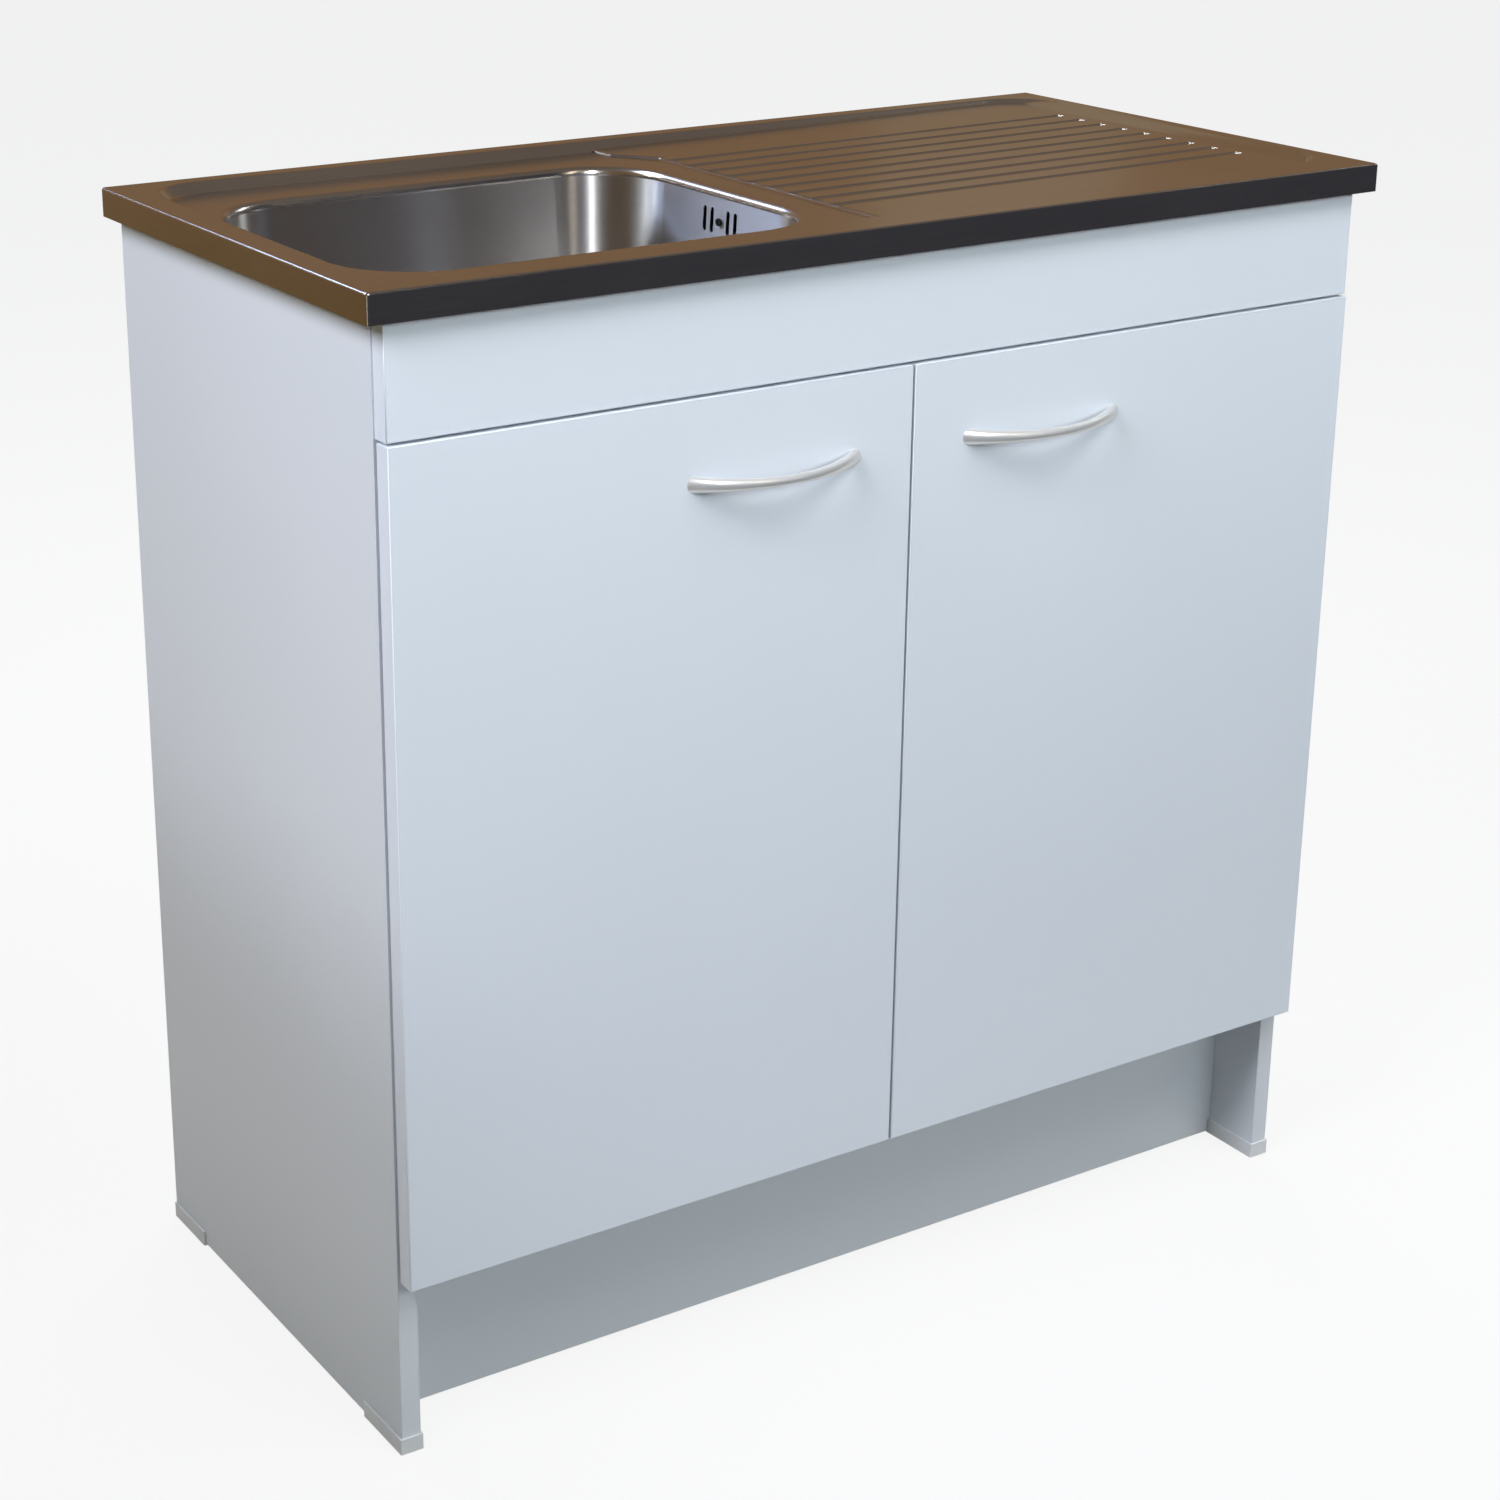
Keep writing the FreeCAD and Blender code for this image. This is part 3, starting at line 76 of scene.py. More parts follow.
# %% [markdown]
# ## The camera
# The photograph looks down on the unit from the front left. Its long edges meet at two vanishing
# points, and with the cabinet's width and height known they fix one place and one lens for the
# camera. The frame is cropped a little off centre, so the lens is shifted instead of turned, which
# keeps the uprights as steep as they are in the photograph.

# %% Camera
CAMERA_PLACE = (-1.2905, -1.8748, 1.2978)
CAMERA_TILT = math.radians(70.91)
CAMERA_TURN = math.radians(-31.97)
FOCAL_SHARE = 1.9672                # focal length over the width of the frame
SENSOR_WIDTH = 36.0
SHIFT = (0.0807, -0.0732)

lens = bpy.data.cameras.new("camera")
lens.sensor_width = SENSOR_WIDTH
lens.lens = FOCAL_SHARE * SENSOR_WIDTH
lens.shift_x, lens.shift_y = SHIFT
camera = bpy.data.objects.new("camera", lens)
camera.location = CAMERA_PLACE
camera.rotation_euler = (CAMERA_TILT, 0.0, CAMERA_TURN)
bpy.context.collection.objects.link(camera)
bpy.context.scene.camera = camera
bpy.context.scene.view_settings.view_transform = "Standard"
print("camera:", round(lens.lens, 1), "mm lens at", CAMERA_PLACE)

# %% [markdown]
# ## Helpers for shader nodes
# Every finish below is a small tree of nodes. These helpers keep the trees short: one adds a node
# and fills its sockets with numbers or with links, one makes an empty node group with named inputs
# and outputs, and the others wrap the few nodes that come back again and again.

# %% Node helpers
def add(tree, kind, inputs=None, **settings):
    node = tree.nodes.new(kind)
    for name, value in settings.items():
        setattr(node, name, value)
    for name, value in (inputs or {}).items():
        if isinstance(value, bpy.types.NodeSocket):
            tree.links.new(value, node.inputs[name])
        else:
            node.inputs[name].default_value = value
    return node


def new_group(name, inputs, outputs):
    group = bpy.data.node_groups.new(name, "ShaderNodeTree")
    for title, kind, value in inputs:
        socket = group.interface.new_socket(title, in_out="INPUT", socket_type="NodeSocket" + kind)
        socket.default_value = value
    for title, kind in outputs:
        group.interface.new_socket(title, in_out="OUTPUT", socket_type="NodeSocket" + kind)
    return group, group.nodes.new("NodeGroupInput").outputs, group.nodes.new("NodeGroupOutput").inputs


def new_material(name):
    material = bpy.data.materials.new(name)
    material.use_nodes = True
    return material, material.node_tree, material.node_tree.nodes["Principled BSDF"].inputs


def math_node(tree, operation, first, second=0.0):
    return add(tree, "ShaderNodeMath", {0: first, 1: second}, operation=operation).outputs[0]


def vector_node(tree, operation, first, second):
    return add(tree, "ShaderNodeVectorMath", {0: first, 1: second}, operation=operation).outputs[0]


def blend_numbers(tree, share, first, second):
    return add(tree, "ShaderNodeMix", {0: share, 2: first, 3: second}).outputs[0]


def blend_colours(tree, share, first, second):
    return add(tree, "ShaderNodeMix", {0: share, 6: first, 7: second}, data_type="RGBA").outputs[2]


def remap(tree, value, from_low, from_high, to_low, to_high):
    limits = {"Value": value, "From Min": from_low, "From Max": from_high,
              "To Min": to_low, "To Max": to_high}
    return add(tree, "ShaderNodeMapRange", limits).outputs[0]


def noise(tree, vector, scale, detail=2.0, roughness=0.5):
    sockets = {"Vector": vector, "Scale": scale, "Detail": detail, "Roughness": roughness}
    return add(tree, "ShaderNodeTexNoise", sockets).outputs[0]


def stretched(tree, vector, scale):
    return add(tree, "ShaderNodeMapping", {"Vector": vector, "Scale": scale}).outputs[0]


def place_of(tree):
    return add(tree, "ShaderNodeTexCoord").outputs["Object"]


def bump(tree, height, strength, distance):
    sockets = {"Height": height, "Strength": strength, "Distance": distance}
    return add(tree, "ShaderNodeBump", sockets).outputs[0]


def depth_in_box(tree, place, box_low, box_high):
    """How far a place is inside a box, along each axis, as three sockets."""
    to_low = vector_node(tree, "SUBTRACT", place, box_low)
    to_high = vector_node(tree, "SUBTRACT", box_high, place)
    reach = vector_node(tree, "MINIMUM", to_low, to_high)
    return add(tree, "ShaderNodeSeparateXYZ", {0: reach}).outputs


# %% [markdown]
# ## Brushed metal
# The steel is rubbed with an abrasive belt after pressing. The belt leaves fine parallel scratches:
# along the length of the flat top, and level round the walls of the bowl and the rim. A noise that
# is squeezed across the scratches and stretched along them draws them. One group does it for the
# steel and the handles, and it also clouds the colour a little, as handling does.

# %% Brushed metal group
SCRATCH_ACROSS = 2600.0             # scratches per metre, across the belt
SCRATCH_ALONG = 40.0
STROKE_ACROSS = 420.0               # broader strokes of the same belt
STROKE_ALONG = 7.0
STROKE_SHARE = 0.4                  # the rest is fine scratches
CLOUD_SCALE = 7.0
CLOUD_DEPTH = 0.16

brushed, taken, given = new_group(
    "brushed metal",
    [("Vector", "Vector", (0, 0, 0)), ("Colour", "Color", (1, 1, 1, 1)), ("Depth", "Float", 0.12),
     ("Smoothest", "Float", 0.2), ("Roughest", "Float", 0.35)],
    [("Colour", "Color"), ("Roughness", "Float"), ("Height", "Float")])
facing = add(brushed, "ShaderNodeSeparateXYZ", {0: add(brushed, "ShaderNodeNewGeometry").outputs["Normal"]})
flat_share = remap(brushed, math_node(brushed, "ABSOLUTE", facing.outputs[2]), 0.6, 0.8, 0.0, 1.0)


def belt_lines(along, across, detail):
    """Lines along X on flat faces, and level lines on upright ones."""
    on_flat = stretched(brushed, taken["Vector"], (along, across, across))
    on_wall = stretched(brushed, taken["Vector"], (along, along, across))
    flat_lines = noise(brushed, on_flat, 1.0, detail)
    wall_lines = noise(brushed, on_wall, 1.0, detail)
    return blend_numbers(brushed, flat_share, wall_lines, flat_lines)


fine_lines = belt_lines(SCRATCH_ALONG, SCRATCH_ACROSS, 4.0)
strokes = belt_lines(STROKE_ALONG, STROKE_ACROSS, 3.0)
lines = blend_numbers(brushed, STROKE_SHARE, fine_lines, strokes)
clouds = noise(brushed, taken["Vector"], CLOUD_SCALE, 3.0)
shade = math_node(brushed, "MULTIPLY", math_node(brushed, "SUBTRACT", lines, 0.5), taken["Depth"])
cloud_shade = math_node(brushed, "MULTIPLY", math_node(brushed, "SUBTRACT", clouds, 0.5), CLOUD_DEPTH)
level = math_node(brushed, "ADD", math_node(brushed, "ADD", shade, cloud_shade), 1.0)
scaled = add(brushed, "ShaderNodeVectorMath", {0: taken["Colour"], "Scale": level}, operation="SCALE")
brushed.links.new(scaled.outputs[0], given["Colour"])
line_blur = math_node(brushed, "MULTIPLY", lines, 0.7)
cloud_blur = math_node(brushed, "MULTIPLY", clouds, 0.3)
blur = math_node(brushed, "ADD", line_blur, cloud_blur)
blur = remap(brushed, blur, 0.3, 0.7, taken["Smoothest"], taken["Roughest"])
brushed.links.new(blur, given["Roughness"])
brushed.links.new(lines, given["Height"])
print("brushed metal:", len(brushed.nodes), "nodes")


# %% [markdown]
# ## Coated board
# The cabinet is chipboard with a hard white film pressed on both faces and a glued strip along its
# edges. The film has a fine orange-peel texture, and where face and strip meet there is a line that
# is a little darker from the glue and the cutter. The group finds that line from the distance to
# the board's own corners, so it follows each board's real size.

# %% Coated board group
LINE_CORE = 0.0001                  # metres either side of the glue line
LINE_EDGE = 0.0004
MOTTLE_DEPTH = 0.03

coated, taken, given = new_group(
    "coated board",
    [("Vector", "Vector", (0, 0, 0)), ("Colour", "Color", (1, 1, 1, 1)), ("Low", "Vector", (0, 0, 0)),
     ("High", "Vector", (1, 1, 1)), ("Strip", "Float", 0.0009), ("Joint", "Float", 0.1)],
    [("Colour", "Color"), ("Roughness", "Float"), ("Height", "Float")])
near = []
for side in depth_in_box(coated, taken["Vector"], taken["Low"], taken["High"]):
    offset = math_node(coated, "ABSOLUTE", math_node(coated, "SUBTRACT", side, taken["Strip"]))
    near.append(remap(coated, offset, LINE_CORE, LINE_EDGE, 1.0, 0.0))
joint = math_node(coated, "MAXIMUM", math_node(coated, "MAXIMUM", near[0], near[1]), near[2])
mottle = math_node(coated, "SUBTRACT", noise(coated, taken["Vector"], 5.0, 3.0), 0.5)
peel = noise(coated, taken["Vector"], 900.0, 2.0)
level = math_node(coated, "ADD", math_node(coated, "MULTIPLY", mottle, MOTTLE_DEPTH), 1.0)
darker = math_node(coated, "MULTIPLY", joint, taken["Joint"])
level = math_node(coated, "SUBTRACT", level, darker)
scaled = add(coated, "ShaderNodeVectorMath", {0: taken["Colour"], "Scale": level}, operation="SCALE")
coated.links.new(scaled.outputs[0], given["Colour"])
coated.links.new(remap(coated, mottle, -0.3, 0.3, 0.30, 0.38), given["Roughness"])
coated.links.new(peel, given["Height"])
print("coated board:", len(coated.nodes), "nodes")


# %% [markdown]
# ## Steel, nickel and plated parts
# All metals share one recipe: a metallic surface whose colour and roughness come from the brushed
# group. Only the colour, the depth of the scratches and the roughness differ. Plated hinge parts
# are smoother, and zinc is duller and a little yellow. The walls of the bowl are rubbed level all
# the way round, so they draw each light out into an upright streak. The shader's own anisotropy
# does that, turned a quarter so that the blur runs across the scratches.

# %% Metals
def metal(name, colour, depth, smoothest, roughest, relief=0.000004, streak=0.0, metallic=1.0):
    material, tree, surface = new_material(name)
    lines = add(tree, "ShaderNodeGroup", node_tree=brushed)
    tree.links.new(place_of(tree), lines.inputs["Vector"])
    lines.inputs["Colour"].default_value = (*colour, 1.0)
    lines.inputs["Depth"].default_value = depth
    lines.inputs["Smoothest"].default_value = smoothest
    lines.inputs["Roughest"].default_value = roughest
    tree.links.new(lines.outputs["Colour"], surface["Base Color"])
    tree.links.new(lines.outputs["Roughness"], surface["Roughness"])
    tree.links.new(bump(tree, lines.outputs["Height"], 0.25, relief), surface["Normal"])
    surface["Metallic"].default_value = metallic
    surface["Anisotropic"].default_value = streak
    surface["Anisotropic Rotation"].default_value = 0.25 if streak else 0.0
    return material


BOWL_FINISH = metal("brushed bowl", (0.60, 0.58, 0.56), 0.16, 0.35, 0.45, streak=1.0)
FINISH = {
    # The top's steel is a little warmer than the bowl's. Part of the brown reflection on the top is painted
    # into its colour.
    "stainless": metal("brushed stainless", (0.60, 0.57, 0.53), 0.20, 0.16, 0.28),
    "nickel": metal("satin nickel", (0.76, 0.75, 0.73), 0.10, 0.26, 0.36, metallic=0.55),
    "hinge_steel": metal("plated hinge steel", (0.66, 0.66, 0.66), 0.05, 0.16, 0.24),
    "zinc": metal("zinc plate", (0.62, 0.61, 0.57), 0.08, 0.28, 0.42),
}
print("metals:", ", ".join(FINISH))


# %% [markdown]
# ## Plastic, rubber, silicone and bare wood
# These parts are small or hidden, but they show when a door is open. Moulded plastic has a fine
# grain from the mould, rubber is matt with dust in it, silicone dots are milky, and the strips
# under the steel are sawn softwood with long grain.

# %% Small finishes
def moulded(name, colour, grain, rough, spread):
    material, tree, surface = new_material(name)
    place = place_of(tree)
    fine = noise(tree, place, grain, 3.0)
    broad = noise(tree, place, 25.0, 2.0)
    darker = tuple(channel * 0.9 for channel in colour)
    share = remap(tree, broad, 0.3, 0.7, 0.0, 1.0)
    tree.links.new(blend_colours(tree, share, (*colour, 1.0), (*darker, 1.0)), surface["Base Color"])
    tree.links.new(remap(tree, fine, 0.3, 0.7, rough, rough + spread), surface["Roughness"])
    tree.links.new(bump(tree, fine, 0.2, 0.00005), surface["Normal"])
    return material


def sawn_wood(name, colour, dark):
    material, tree, surface = new_material(name)
    place = place_of(tree)
    grain = noise(tree, stretched(tree, place, (6.0, 60.0, 60.0)), 1.0, 5.0, 0.6)
    fibre = noise(tree, stretched(tree, place, (30.0, 900.0, 900.0)), 1.0, 2.0)
    broad_part = math_node(tree, "MULTIPLY", grain, 0.7)
    fine_part = math_node(tree, "MULTIPLY", fibre, 0.3)
    both = math_node(tree, "ADD", broad_part, fine_part)
    share = remap(tree, both, 0.35, 0.65, 0.0, 1.0)
    tree.links.new(blend_colours(tree, share, (*dark, 1.0), (*colour, 1.0)), surface["Base Color"])
    tree.links.new(remap(tree, fibre, 0.3, 0.7, 0.6, 0.8), surface["Roughness"])
    tree.links.new(bump(tree, both, 0.5, 0.0002), surface["Normal"])
    return material


# %% [markdown]
# ## The room behind the slots
# The slots of the bowl are black in the photograph, and what is behind them can't be seen. The
# housing there is taken as white plastic, and its inside is painted dark as shade, so the slots look
# black. The painted shade keeps to the room inside, which is found from the boxes of the housing and its
# seal.

# %% Housing with painted shade inside
HOUSING_WALL = 0.002
SHADE_START = 0.0003                # metres inside the room where the painted shade begins
SHADE_FULL = 0.0006
HOUSING_WHITE = (0.80, 0.81, 0.81)
# Painted shade: a near-black colour for the inside of the housing, standing in for the shade behind the
# slots.
PAINTED_SHADE = (0.006, 0.006, 0.007)


def shade_the_inside(material, room_low, room_high, dark):
    """Darken the walls of the room behind the bowl's slots with painted shade."""
    tree = material.node_tree
    surface = tree.nodes["Principled BSDF"].inputs
    place = place_of(tree)
    sides = depth_in_box(tree, place, room_low, room_high)
    least = math_node(tree, "MINIMUM", sides[0], math_node(tree, "MINIMUM", sides[1], sides[2]))
    inner = remap(tree, least, SHADE_START, SHADE_FULL, 0.0, 1.0)
    unshaded = surface["Base Color"].links[0].from_socket
    tree.links.new(blend_colours(tree, inner, unshaded, (*dark, 1.0)), surface["Base Color"])
    unshaded_gloss = surface["Roughness"].links[0].from_socket
    tree.links.new(blend_numbers(tree, inner, unshaded_gloss, 1.0), surface["Roughness"])


seal_low, seal_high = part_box("overflow_gasket")
housing_low, housing_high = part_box("overflow_housing")
half_wall = HOUSING_WALL / 2
room_low = (housing_low[0] - half_wall, seal_low[1] + half_wall, seal_low[2] + half_wall)
room_high = (housing_high[0] - half_wall, seal_high[1] - half_wall, seal_high[2] - half_wall)
HOUSING_FINISH = moulded("overflow housing", HOUSING_WHITE, 1200.0, 0.35, 0.12)
# The inside of the housing is painted dark as shade.
shade_the_inside(HOUSING_FINISH, room_low, room_high, PAINTED_SHADE)
print("painted shade room:", [round(value, 4) for value in (*room_low, *room_high)])

# %% Finishes by slot
FINISH["white_plastic"] = moulded("white moulded plastic", HOUSING_WHITE, 1200.0, 0.35, 0.12)
FINISH["seal_rubber"] = moulded("black rubber", (0.035, 0.035, 0.036), 700.0, 0.6, 0.2)
FINISH["clear_silicone"] = moulded("milky silicone", (0.72, 0.74, 0.74), 900.0, 0.25, 0.1)
FINISH["dark_screw"] = metal("blackened screw", (0.05, 0.05, 0.052), 0.2, 0.35, 0.5)
FINISH["raw_wood"] = sawn_wood("sawn softwood", (0.72, 0.55, 0.36), (0.52, 0.36, 0.21))
print("finishes:", ", ".join(sorted(FINISH)))


# %% [markdown]
# ## Boards
# Each board gets its own copy of the coated material, because the glue line sits at that board's
# own edges. The doors and the false front are one shade brighter than the carcass.

# %% Board finishes
CARCASS_WHITE = (0.70, 0.735, 0.77)
FRONT_WHITE = (0.74, 0.785, 0.84)
BACK_WHITE = (0.76, 0.76, 0.74)
HARDBOARD = (0.24, 0.13, 0.07)
HARDBOARD_PALE = (0.33, 0.20, 0.11)


def board_finish(node, colour):
    material, tree, surface = new_material("board " + node)
    skin = add(tree, "ShaderNodeGroup", node_tree=coated)
    tree.links.new(place_of(tree), skin.inputs["Vector"])
    corner_low, corner_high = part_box(node)
    skin.inputs["Colour"].default_value = (*colour, 1.0)
    skin.inputs["Low"].default_value = corner_low
    skin.inputs["High"].default_value = corner_high
    tree.links.new(skin.outputs["Colour"], surface["Base Color"])
    tree.links.new(skin.outputs["Roughness"], surface["Roughness"])
    tree.links.new(bump(tree, skin.outputs["Height"], 0.08, 0.0001), surface["Normal"])
    return material


BOARD_COLOUR = {"white_board": CARCASS_WHITE, "front_board": FRONT_WHITE, "back_board": BACK_WHITE}


def hardboard_finish(node):
    """White on the side that faces the shelf, bare brown fibre on the side that faces the wall."""
    material = board_finish(node, BACK_WHITE)
    tree = material.node_tree
    surface = tree.nodes["Principled BSDF"].inputs
    place = place_of(tree)
    weave = add(tree, "ShaderNodeTexVoronoi", {"Vector": place, "Scale": 420.0}).outputs["Distance"]
    fibre = noise(tree, place, 160.0, 5.0, 0.6)
    weave_part = math_node(tree, "MULTIPLY", weave, 0.5)
    fibre_part = math_node(tree, "MULTIPLY", fibre, 0.6)
    both = math_node(tree, "ADD", weave_part, fibre_part)
    share = remap(tree, both, 0.25, 0.75, 0.0, 1.0)
    bare = blend_colours(tree, share, (*HARDBOARD, 1.0), (*HARDBOARD_PALE, 1.0))
    sides = add(tree, "ShaderNodeSeparateXYZ", {0: add(tree, "ShaderNodeNewGeometry").outputs["Normal"]})
    rear = remap(tree, sides.outputs[1], 0.4, 0.6, 0.0, 1.0)
    film = surface["Base Color"].links[0].from_socket
    film_gloss = surface["Roughness"].links[0].from_socket
    tree.links.new(blend_colours(tree, rear, film, bare), surface["Base Color"])
    dull = remap(tree, fibre, 0.3, 0.7, 0.75, 0.9)
    tree.links.new(blend_numbers(tree, rear, film_gloss, dull), surface["Roughness"])
    return material


# %% [markdown]
# ## Dressing the frame
# Every node now takes the finish of its slot. A frame node keeps its mesh, and only its material
# slot changes.

# %% Paint the nodes
def paint(piece, material):
    piece.data.materials.clear()
    piece.data.materials.append(material)


for name, piece in NODES.items():
    slot = SLOT_OF[name]
    paint(piece, board_finish(name, BOARD_COLOUR[slot]) if slot in BOARD_COLOUR else FINISH[slot])
paint(NODES["back_panel"], hardboard_finish("back_panel"))
paint(NODES["sink_bowl"], BOWL_FINISH)
paint(NODES["overflow_housing"], HOUSING_FINISH)
print("painted", len(NODES), "nodes")

# %% [markdown]
# ## Copies with finer edges
# A frame mesh is a shell of loose triangles with hard edges, and a pressed sheet has none. Such a
# part gets a copy: the copy's points are merged, its flat triangles are joined into whole faces,
# and then its edges can be rounded. The copy rides on the same body and takes the frame node's
# place in the picture.

# %% Copy helpers
def merged_copy(node, flat=0.4):
    shape = bmesh.new()
    shape.from_mesh(NODES[node].data)
    bmesh.ops.remove_doubles(shape, verts=shape.verts, dist=1e-6)
    flat_limit = math.radians(flat)
    bmesh.ops.dissolve_limit(shape, angle_limit=flat_limit, verts=shape.verts, edges=shape.edges)
    return shape


def round_edges(shape, edges, radius, segments):
    bmesh.ops.bevel(shape, geom=edges, offset=radius, offset_type="OFFSET", segments=segments,
                    profile=0.5, affect="EDGES", material=-1, clamp_overlap=False, loop_slide=True,
                    miter_outer="ARC")


def stand_in(shape, name, node, crease):
    """Make the finished shape an object that shows instead of its frame node."""
    mesh = bpy.data.meshes.new(name)
    shape.to_mesh(mesh)
    shape.free()
    mesh.polygons.foreach_set("use_smooth", [True] * len(mesh.polygons))
    mesh.set_sharp_from_angle(angle=math.radians(crease))
    piece = bpy.data.objects.new(name, mesh)
    bpy.context.collection.objects.link(piece)
    mesh.materials.append(NODES[node].data.materials[0])
    shading = piece.modifiers.new("even shading", "WEIGHTED_NORMAL")
    shading.keep_sharp = True
    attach(piece, BODY_OF[node])
    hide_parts(node)
    print(name + ":", len(mesh.polygons), "faces instead of", node)
    return piece


def turn_of(edge):
    return math.degrees(edge.calc_face_angle(0.0)) if edge.is_manifold else 0.0


# %% [markdown]
# ## The pressed top
# The sink top is one sheet, so every fold in its face is a soft one: where the raised border drops
# to the sunken field, round the drainer and along each groove. In the frame these folds are plain
# creases of about 45 degrees. They are found by that angle, and a bevel of three segments turns
# each into a small radius that catches the light as a thin soft line. Where folds meet at a corner
# the bevel can push a point a little above the sheet, so no point is left above its top face.

# %% Pressed top
PRESS_RADIUS = 0.0016
PRESS_STEPS = 3
FOLD_FROM, FOLD_TO = 25, 75         # degrees between the two faces of a fold
FACES_UP = 0.3                      # least upward share of a face of the upper side


def is_fold(edge):
    bends = FOLD_FROM < turn_of(edge) < FOLD_TO
    return bends and all(face.normal.z > FACES_UP for face in edge.link_faces)


shape = merged_copy("sink_top")
face_height = max(vert.co.z for vert in shape.verts)
folds = [edge for edge in shape.edges if is_fold(edge)]
round_edges(shape, folds, PRESS_RADIUS, PRESS_STEPS)
for vert in shape.verts:
    vert.co.z = min(vert.co.z, face_height)
stand_in(shape, "deck_pressing", "sink_top", 30)
print("softened", len(folds), "folds")

# %% [markdown]
# ## Eased board edges
# A glued edge strip is trimmed flush and its corner is broken with a scraper, which leaves a
# radius of less than a millimetre. Only the long straight corners of a board get it, and the
# drilled holes stay sharp.

# %% Eased boards
EASED_BOARDS = ("door_left", "door_right", "false_front",
                "side_panel_left", "side_panel_right", "plinth_board")
EDGE_RADIUS = 0.0005
EDGE_STEPS = 2
SHORTEST_CORNER = 0.012


def is_long_corner(edge):
    square = 80 < turn_of(edge) < 100
    return square and edge.is_convex and edge.calc_length() > SHORTEST_CORNER


for node in EASED_BOARDS:
    shape = merged_copy(node)
    corners = [edge for edge in shape.edges if is_long_corner(edge)]
    round_edges(shape, corners, EDGE_RADIUS, EDGE_STEPS)
    stand_in(shape, node + "_eased", node, 50)

# %% [markdown]
# ## Floor, light and reflections
# The floor is plain and pale. A camera ray sees mostly its own flat colour, so it stays even from
# edge to edge, and a share of plain diffuse keeps the soft shadow under the unit. Satin steel is
# only as bright as what it mirrors, so cards that only glossy rays can see close the set in: brown
# ones behind and to the left, a dark one in front, a grey one at the right and a dim one above.

# %% Floor and world
PALE = (0.871, 0.871, 0.871, 1.0)
FLOOR_REACH = 16.0
SHADOW_SHARE = 0.10
FLOOR_LIFT = 1.105
FLOOR_BOUNCE = (0.23, 0.22, 0.21, 1.0)
SKY_COLOUR = (0.72, 0.90, 1.0, 1.0)
SKY_STRENGTH = 0.14


def seen_directly(tree):
    path = add(tree, "ShaderNodeLightPath").outputs
    mirrored = math_node(tree, "MAXIMUM", path["Is Glossy Ray"], path["Is Transmission Ray"])
    return path["Is Camera Ray"], mirrored


floor_material, tree, surface = new_material("pale floor")
tree.nodes.clear()
camera_ray, mirrored_ray = seen_directly(tree)
plain = add(tree, "ShaderNodeEmission", {"Color": PALE, "Strength": FLOOR_LIFT}).outputs[0]
shaded = add(tree, "ShaderNodeBsdfDiffuse", {"Color": PALE}).outputs[0]
bounce = add(tree, "ShaderNodeBsdfDiffuse", {"Color": FLOOR_BOUNCE}).outputs[0]
for_camera = add(tree, "ShaderNodeMixShader", {0: SHADOW_SHARE, 1: plain, 2: shaded}).outputs[0]
seen = math_node(tree, "MAXIMUM", camera_ray, mirrored_ray)
chosen = add(tree, "ShaderNodeMixShader", {0: seen, 1: bounce, 2: for_camera}).outputs[0]
add(tree, "ShaderNodeOutputMaterial", {"Surface": chosen})

shape = bmesh.new()
bmesh.ops.create_circle(shape, cap_ends=True, radius=FLOOR_REACH, segments=96)
floor_mesh = bpy.data.meshes.new("floor")
shape.to_mesh(floor_mesh)
shape.free()
floor = bpy.data.objects.new("floor", floor_mesh)
bpy.context.collection.objects.link(floor)
floor.data.materials.append(floor_material)

world = bpy.data.worlds.new("studio")
bpy.context.scene.world = world
world.use_nodes = True
tree = world.node_tree
tree.nodes.clear()
camera_ray, mirrored_ray = seen_directly(tree)
seen = math_node(tree, "MAXIMUM", camera_ray, mirrored_ray)
soft = add(tree, "ShaderNodeBackground", {"Color": SKY_COLOUR, "Strength": SKY_STRENGTH}).outputs[0]
pale = add(tree, "ShaderNodeBackground", {"Color": PALE, "Strength": 1.0}).outputs[0]
sky = add(tree, "ShaderNodeMixShader", {0: seen, 1: soft, 2: pale}).outputs[0]
add(tree, "ShaderNodeOutputWorld", {"Surface": sky})
print("floor reaches", FLOOR_REACH, "m")

# %% Lamps
def lamp(name, place, aim, size, watts, colour, spread=180.0):
    data = bpy.data.lights.new(name, "AREA")
    data.shape = "RECTANGLE"
    data.size, data.size_y = size
    data.energy = watts
    data.color = colour
    data.spread = math.radians(spread)
    item = bpy.data.objects.new(name, data)
    item.location = place
    item.rotation_euler = (Vector(aim) - Vector(place)).to_track_quat("-Z", "Y").to_euler()
    item.visible_glossy = False
    bpy.context.collection.objects.link(item)


lamp("ceiling panel", (0.9, -1.9, 3.2), (0.1, -0.2, 0.7), (2.6, 1.4), 54.0, (1.0, 1.0, 1.0))
lamp("left panel", (-2.2, -0.7, 2.4), (-0.4, 0.0, 0.4), (1.2, 1.2), 31.5, (0.86, 0.885, 1.0), 110.0)
lamp("front panel", (0.8, -3.2, 2.0), (0.0, -0.2, 1.15), (2.4, 0.7), 10.3, (0.88, 0.96, 1.0), 75.0)
lamp("rear panel", (0.3, 1.6, 3.0), (0.0, 0.2, 0.6), (2.4, 0.8), 60.0, (1.0, 1.0, 1.0))
print("four lamps, seen by matt surfaces only")

# %% [markdown]
# A low brown screen stands at the left, as a counter would. It keeps the lamp off the foot of the
# side panel, which falls away into a warmer shade there, and neither the camera nor the metal
# sees it.

# %% Screen
SCREEN_SIZE = (0.72, 1.6, 1.0)      # height and depth, before it is stood on edge
SCREEN_PLACE = (-1.0, 0.25, 0.49)

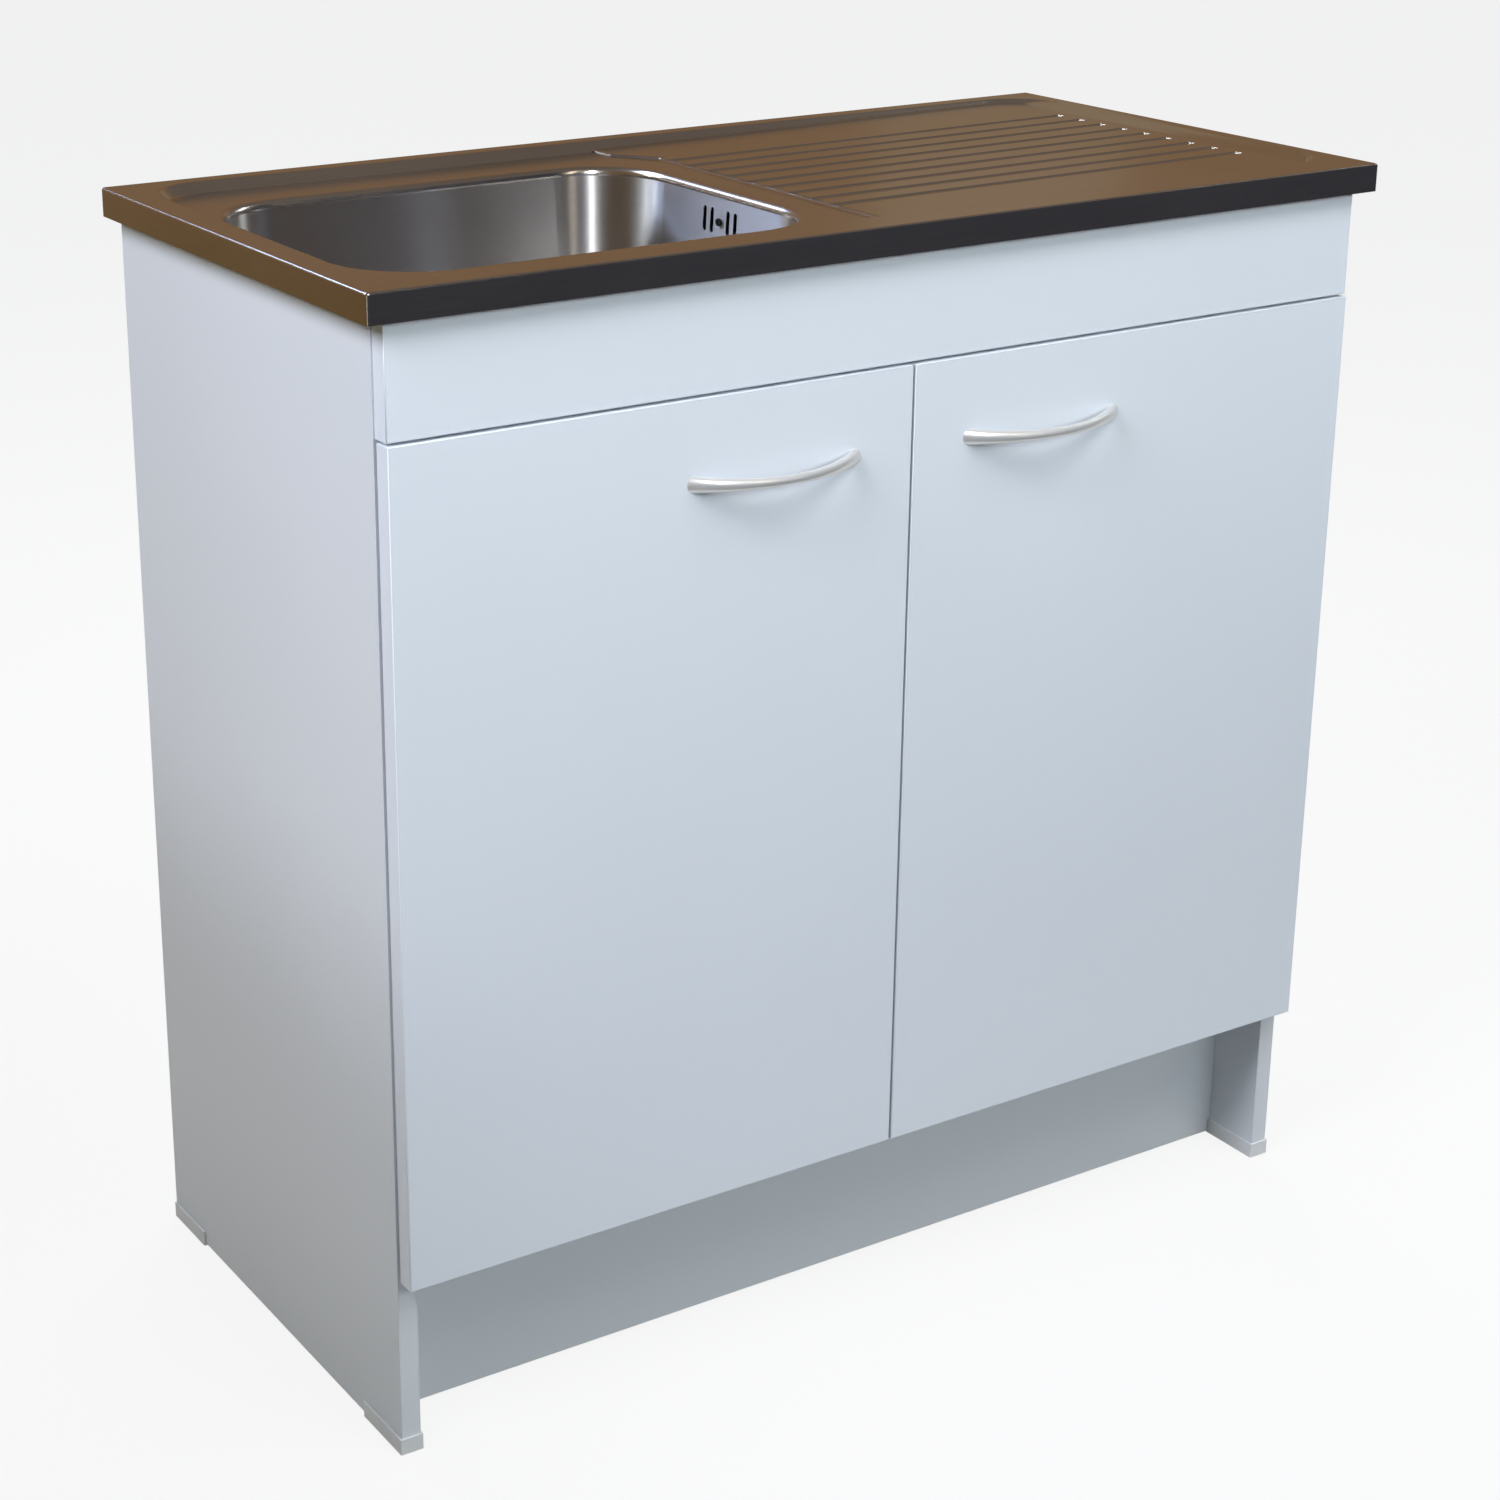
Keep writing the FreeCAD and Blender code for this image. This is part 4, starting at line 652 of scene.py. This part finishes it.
shape = bmesh.new()
bmesh.ops.create_grid(shape, x_segments=1, y_segments=1, size=0.5)
bmesh.ops.scale(shape, vec=SCREEN_SIZE, verts=shape.verts)
bmesh.ops.rotate(shape, matrix=Matrix.Rotation(math.radians(90), 3, "Y"), verts=shape.verts)
bmesh.ops.translate(shape, vec=SCREEN_PLACE, verts=shape.verts)
screen_mesh = bpy.data.meshes.new("screen")
shape.to_mesh(screen_mesh)
shape.free()
screen = bpy.data.objects.new("screen", screen_mesh)
bpy.context.collection.objects.link(screen)
screen.visible_camera = False
screen.visible_glossy = False
screen.visible_transmission = False
material, tree, surface = new_material("screen")
surface["Base Color"].default_value = (0.34, 0.28, 0.12, 1.0)
surface["Roughness"].default_value = 1.0
screen.data.materials.append(material)

# %% [markdown]
# ## Cards for the metal
# Each card is a flat glowing sheet that only shiny surfaces see. The large dim ones give the top
# and the rim their colours. The tall narrow ones stand in a ring round the bowl, and its curved
# corners draw each of them out into a bright upright streak.

# %% Cards
RING_CENTRE = Vector((-0.22, 0.0, 0.85))
RING_RADIUS = 3.4


def card(name, corners, colour, strength):
    """A flat card that only shiny surfaces see."""
    shape = bmesh.new()
    shape.faces.new([shape.verts.new(corner) for corner in corners])
    mesh = bpy.data.meshes.new(name)
    shape.to_mesh(mesh)
    shape.free()
    item = bpy.data.objects.new(name, mesh)
    bpy.context.collection.objects.link(item)
    item.visible_camera = False
    item.visible_diffuse = False
    item.visible_shadow = False
    item.visible_transmission = False
    material, tree, surface = new_material(name)
    tree.nodes.clear()
    glow = add(tree, "ShaderNodeEmission", {"Color": (*colour, 1.0), "Strength": strength}).outputs[0]
    add(tree, "ShaderNodeOutputMaterial", {"Surface": glow})
    item.data.materials.append(material)


def ring_card(name, bearing, width, bottom, top, colour, strength):
    """An upright card at a bearing in degrees, counted from +Y towards +X."""
    sides = []
    for end in (math.radians(bearing - width / 2), math.radians(bearing + width / 2)):
        sides.append(RING_CENTRE + RING_RADIUS * Vector((math.sin(end), math.cos(end), 0.0)))
    left, right = sides
    corners = [(left.x, left.y, bottom), (right.x, right.y, bottom),
               (right.x, right.y, top), (left.x, left.y, top)]
    card(name, corners, colour, strength)


ROOM_LEFT, ROOM_RIGHT, ROOM_FRONT, ROOM_BACK, ROOM_TOP = -3.8, 9.0, -3.8, 4.5, 6.0
NEAR_LEFT, NEAR_FRONT, FLOOR_GAP = -0.62, -0.60, 0.004


def wall_card(name, start, end, colour):
    corners = [(*start, 0), (*end, 0), (*end, ROOM_TOP), (*start, ROOM_TOP)]
    card(name, corners, colour, 1.0)


def level_card(name, outline, height, colour):
    card(name, [(*corner, height) for corner in outline], colour, 1.0)


front_left, front_right = (ROOM_LEFT, ROOM_FRONT), (ROOM_RIGHT, ROOM_FRONT)
back_left, back_right = (ROOM_LEFT, ROOM_BACK), (ROOM_RIGHT, ROOM_BACK)
near_corner = (NEAR_LEFT, NEAR_FRONT)
left_floor = [front_left, near_corner, (NEAR_LEFT, ROOM_BACK), back_left]
front_floor = [front_left, front_right, (ROOM_RIGHT, NEAR_FRONT), near_corner]
whole_room = [front_left, front_right, back_right, back_left]
wall_card("brown wall", back_left, back_right, (0.235, 0.14, 0.075))
wall_card("brown side", front_left, back_left, (0.17, 0.105, 0.045))
wall_card("dark front", front_left, front_right, (0.05, 0.052, 0.066))
wall_card("grey side", front_right, back_right, (0.12, 0.11, 0.11))
level_card("brown floor", left_floor, FLOOR_GAP, (0.16, 0.10, 0.042))
level_card("dark floor", front_floor, FLOOR_GAP, (0.045, 0.045, 0.055))
level_card("dim ceiling", whole_room, ROOM_TOP, (0.16, 0.13, 0.11))
print("room cards placed")

# %% Streaks and window
LOW, HIGH = 1.9, 5.9
WINDOW_SILL = 2.4                   # higher, so the lip at the right of the bowl mirrors less of it
CORNER_LIGHT = [(-3.7, -2.7, 0), (-3.7, -1.7, 0), (-3.7, -1.7, 0.9), (-3.7, -2.7, 0.9)]

ring_card("streak behind the viewer", 203, 6, LOW, HIGH, (0.95, 0.98, 1.0), 20.0)
ring_card("streak at the left", 298, 5, LOW, HIGH, (0.8, 0.9, 1.0), 14.0)
ring_card("streak at the rear left", 315, 5, LOW, HIGH, (0.9, 0.95, 1.0), 18.0)
ring_card("window at the rear", 333, 20, WINDOW_SILL, HIGH, (0.48, 0.64, 1.0), 9.5)
ring_card("warm light in front", 170, 10, LOW, HIGH, (1.0, 0.88, 0.70), 2.5)
ring_card("streak at the right", 90, 5, LOW, 3.2, (0.9, 0.97, 1.0), 12.0)
ring_card("haze over the drainer", 45, 8, 1.45, 2.3, (1.0, 0.75, 0.50), 0.32)
card("corner light", CORNER_LIGHT, (1.0, 1.0, 1.0), 1.5)
print("streaks placed")
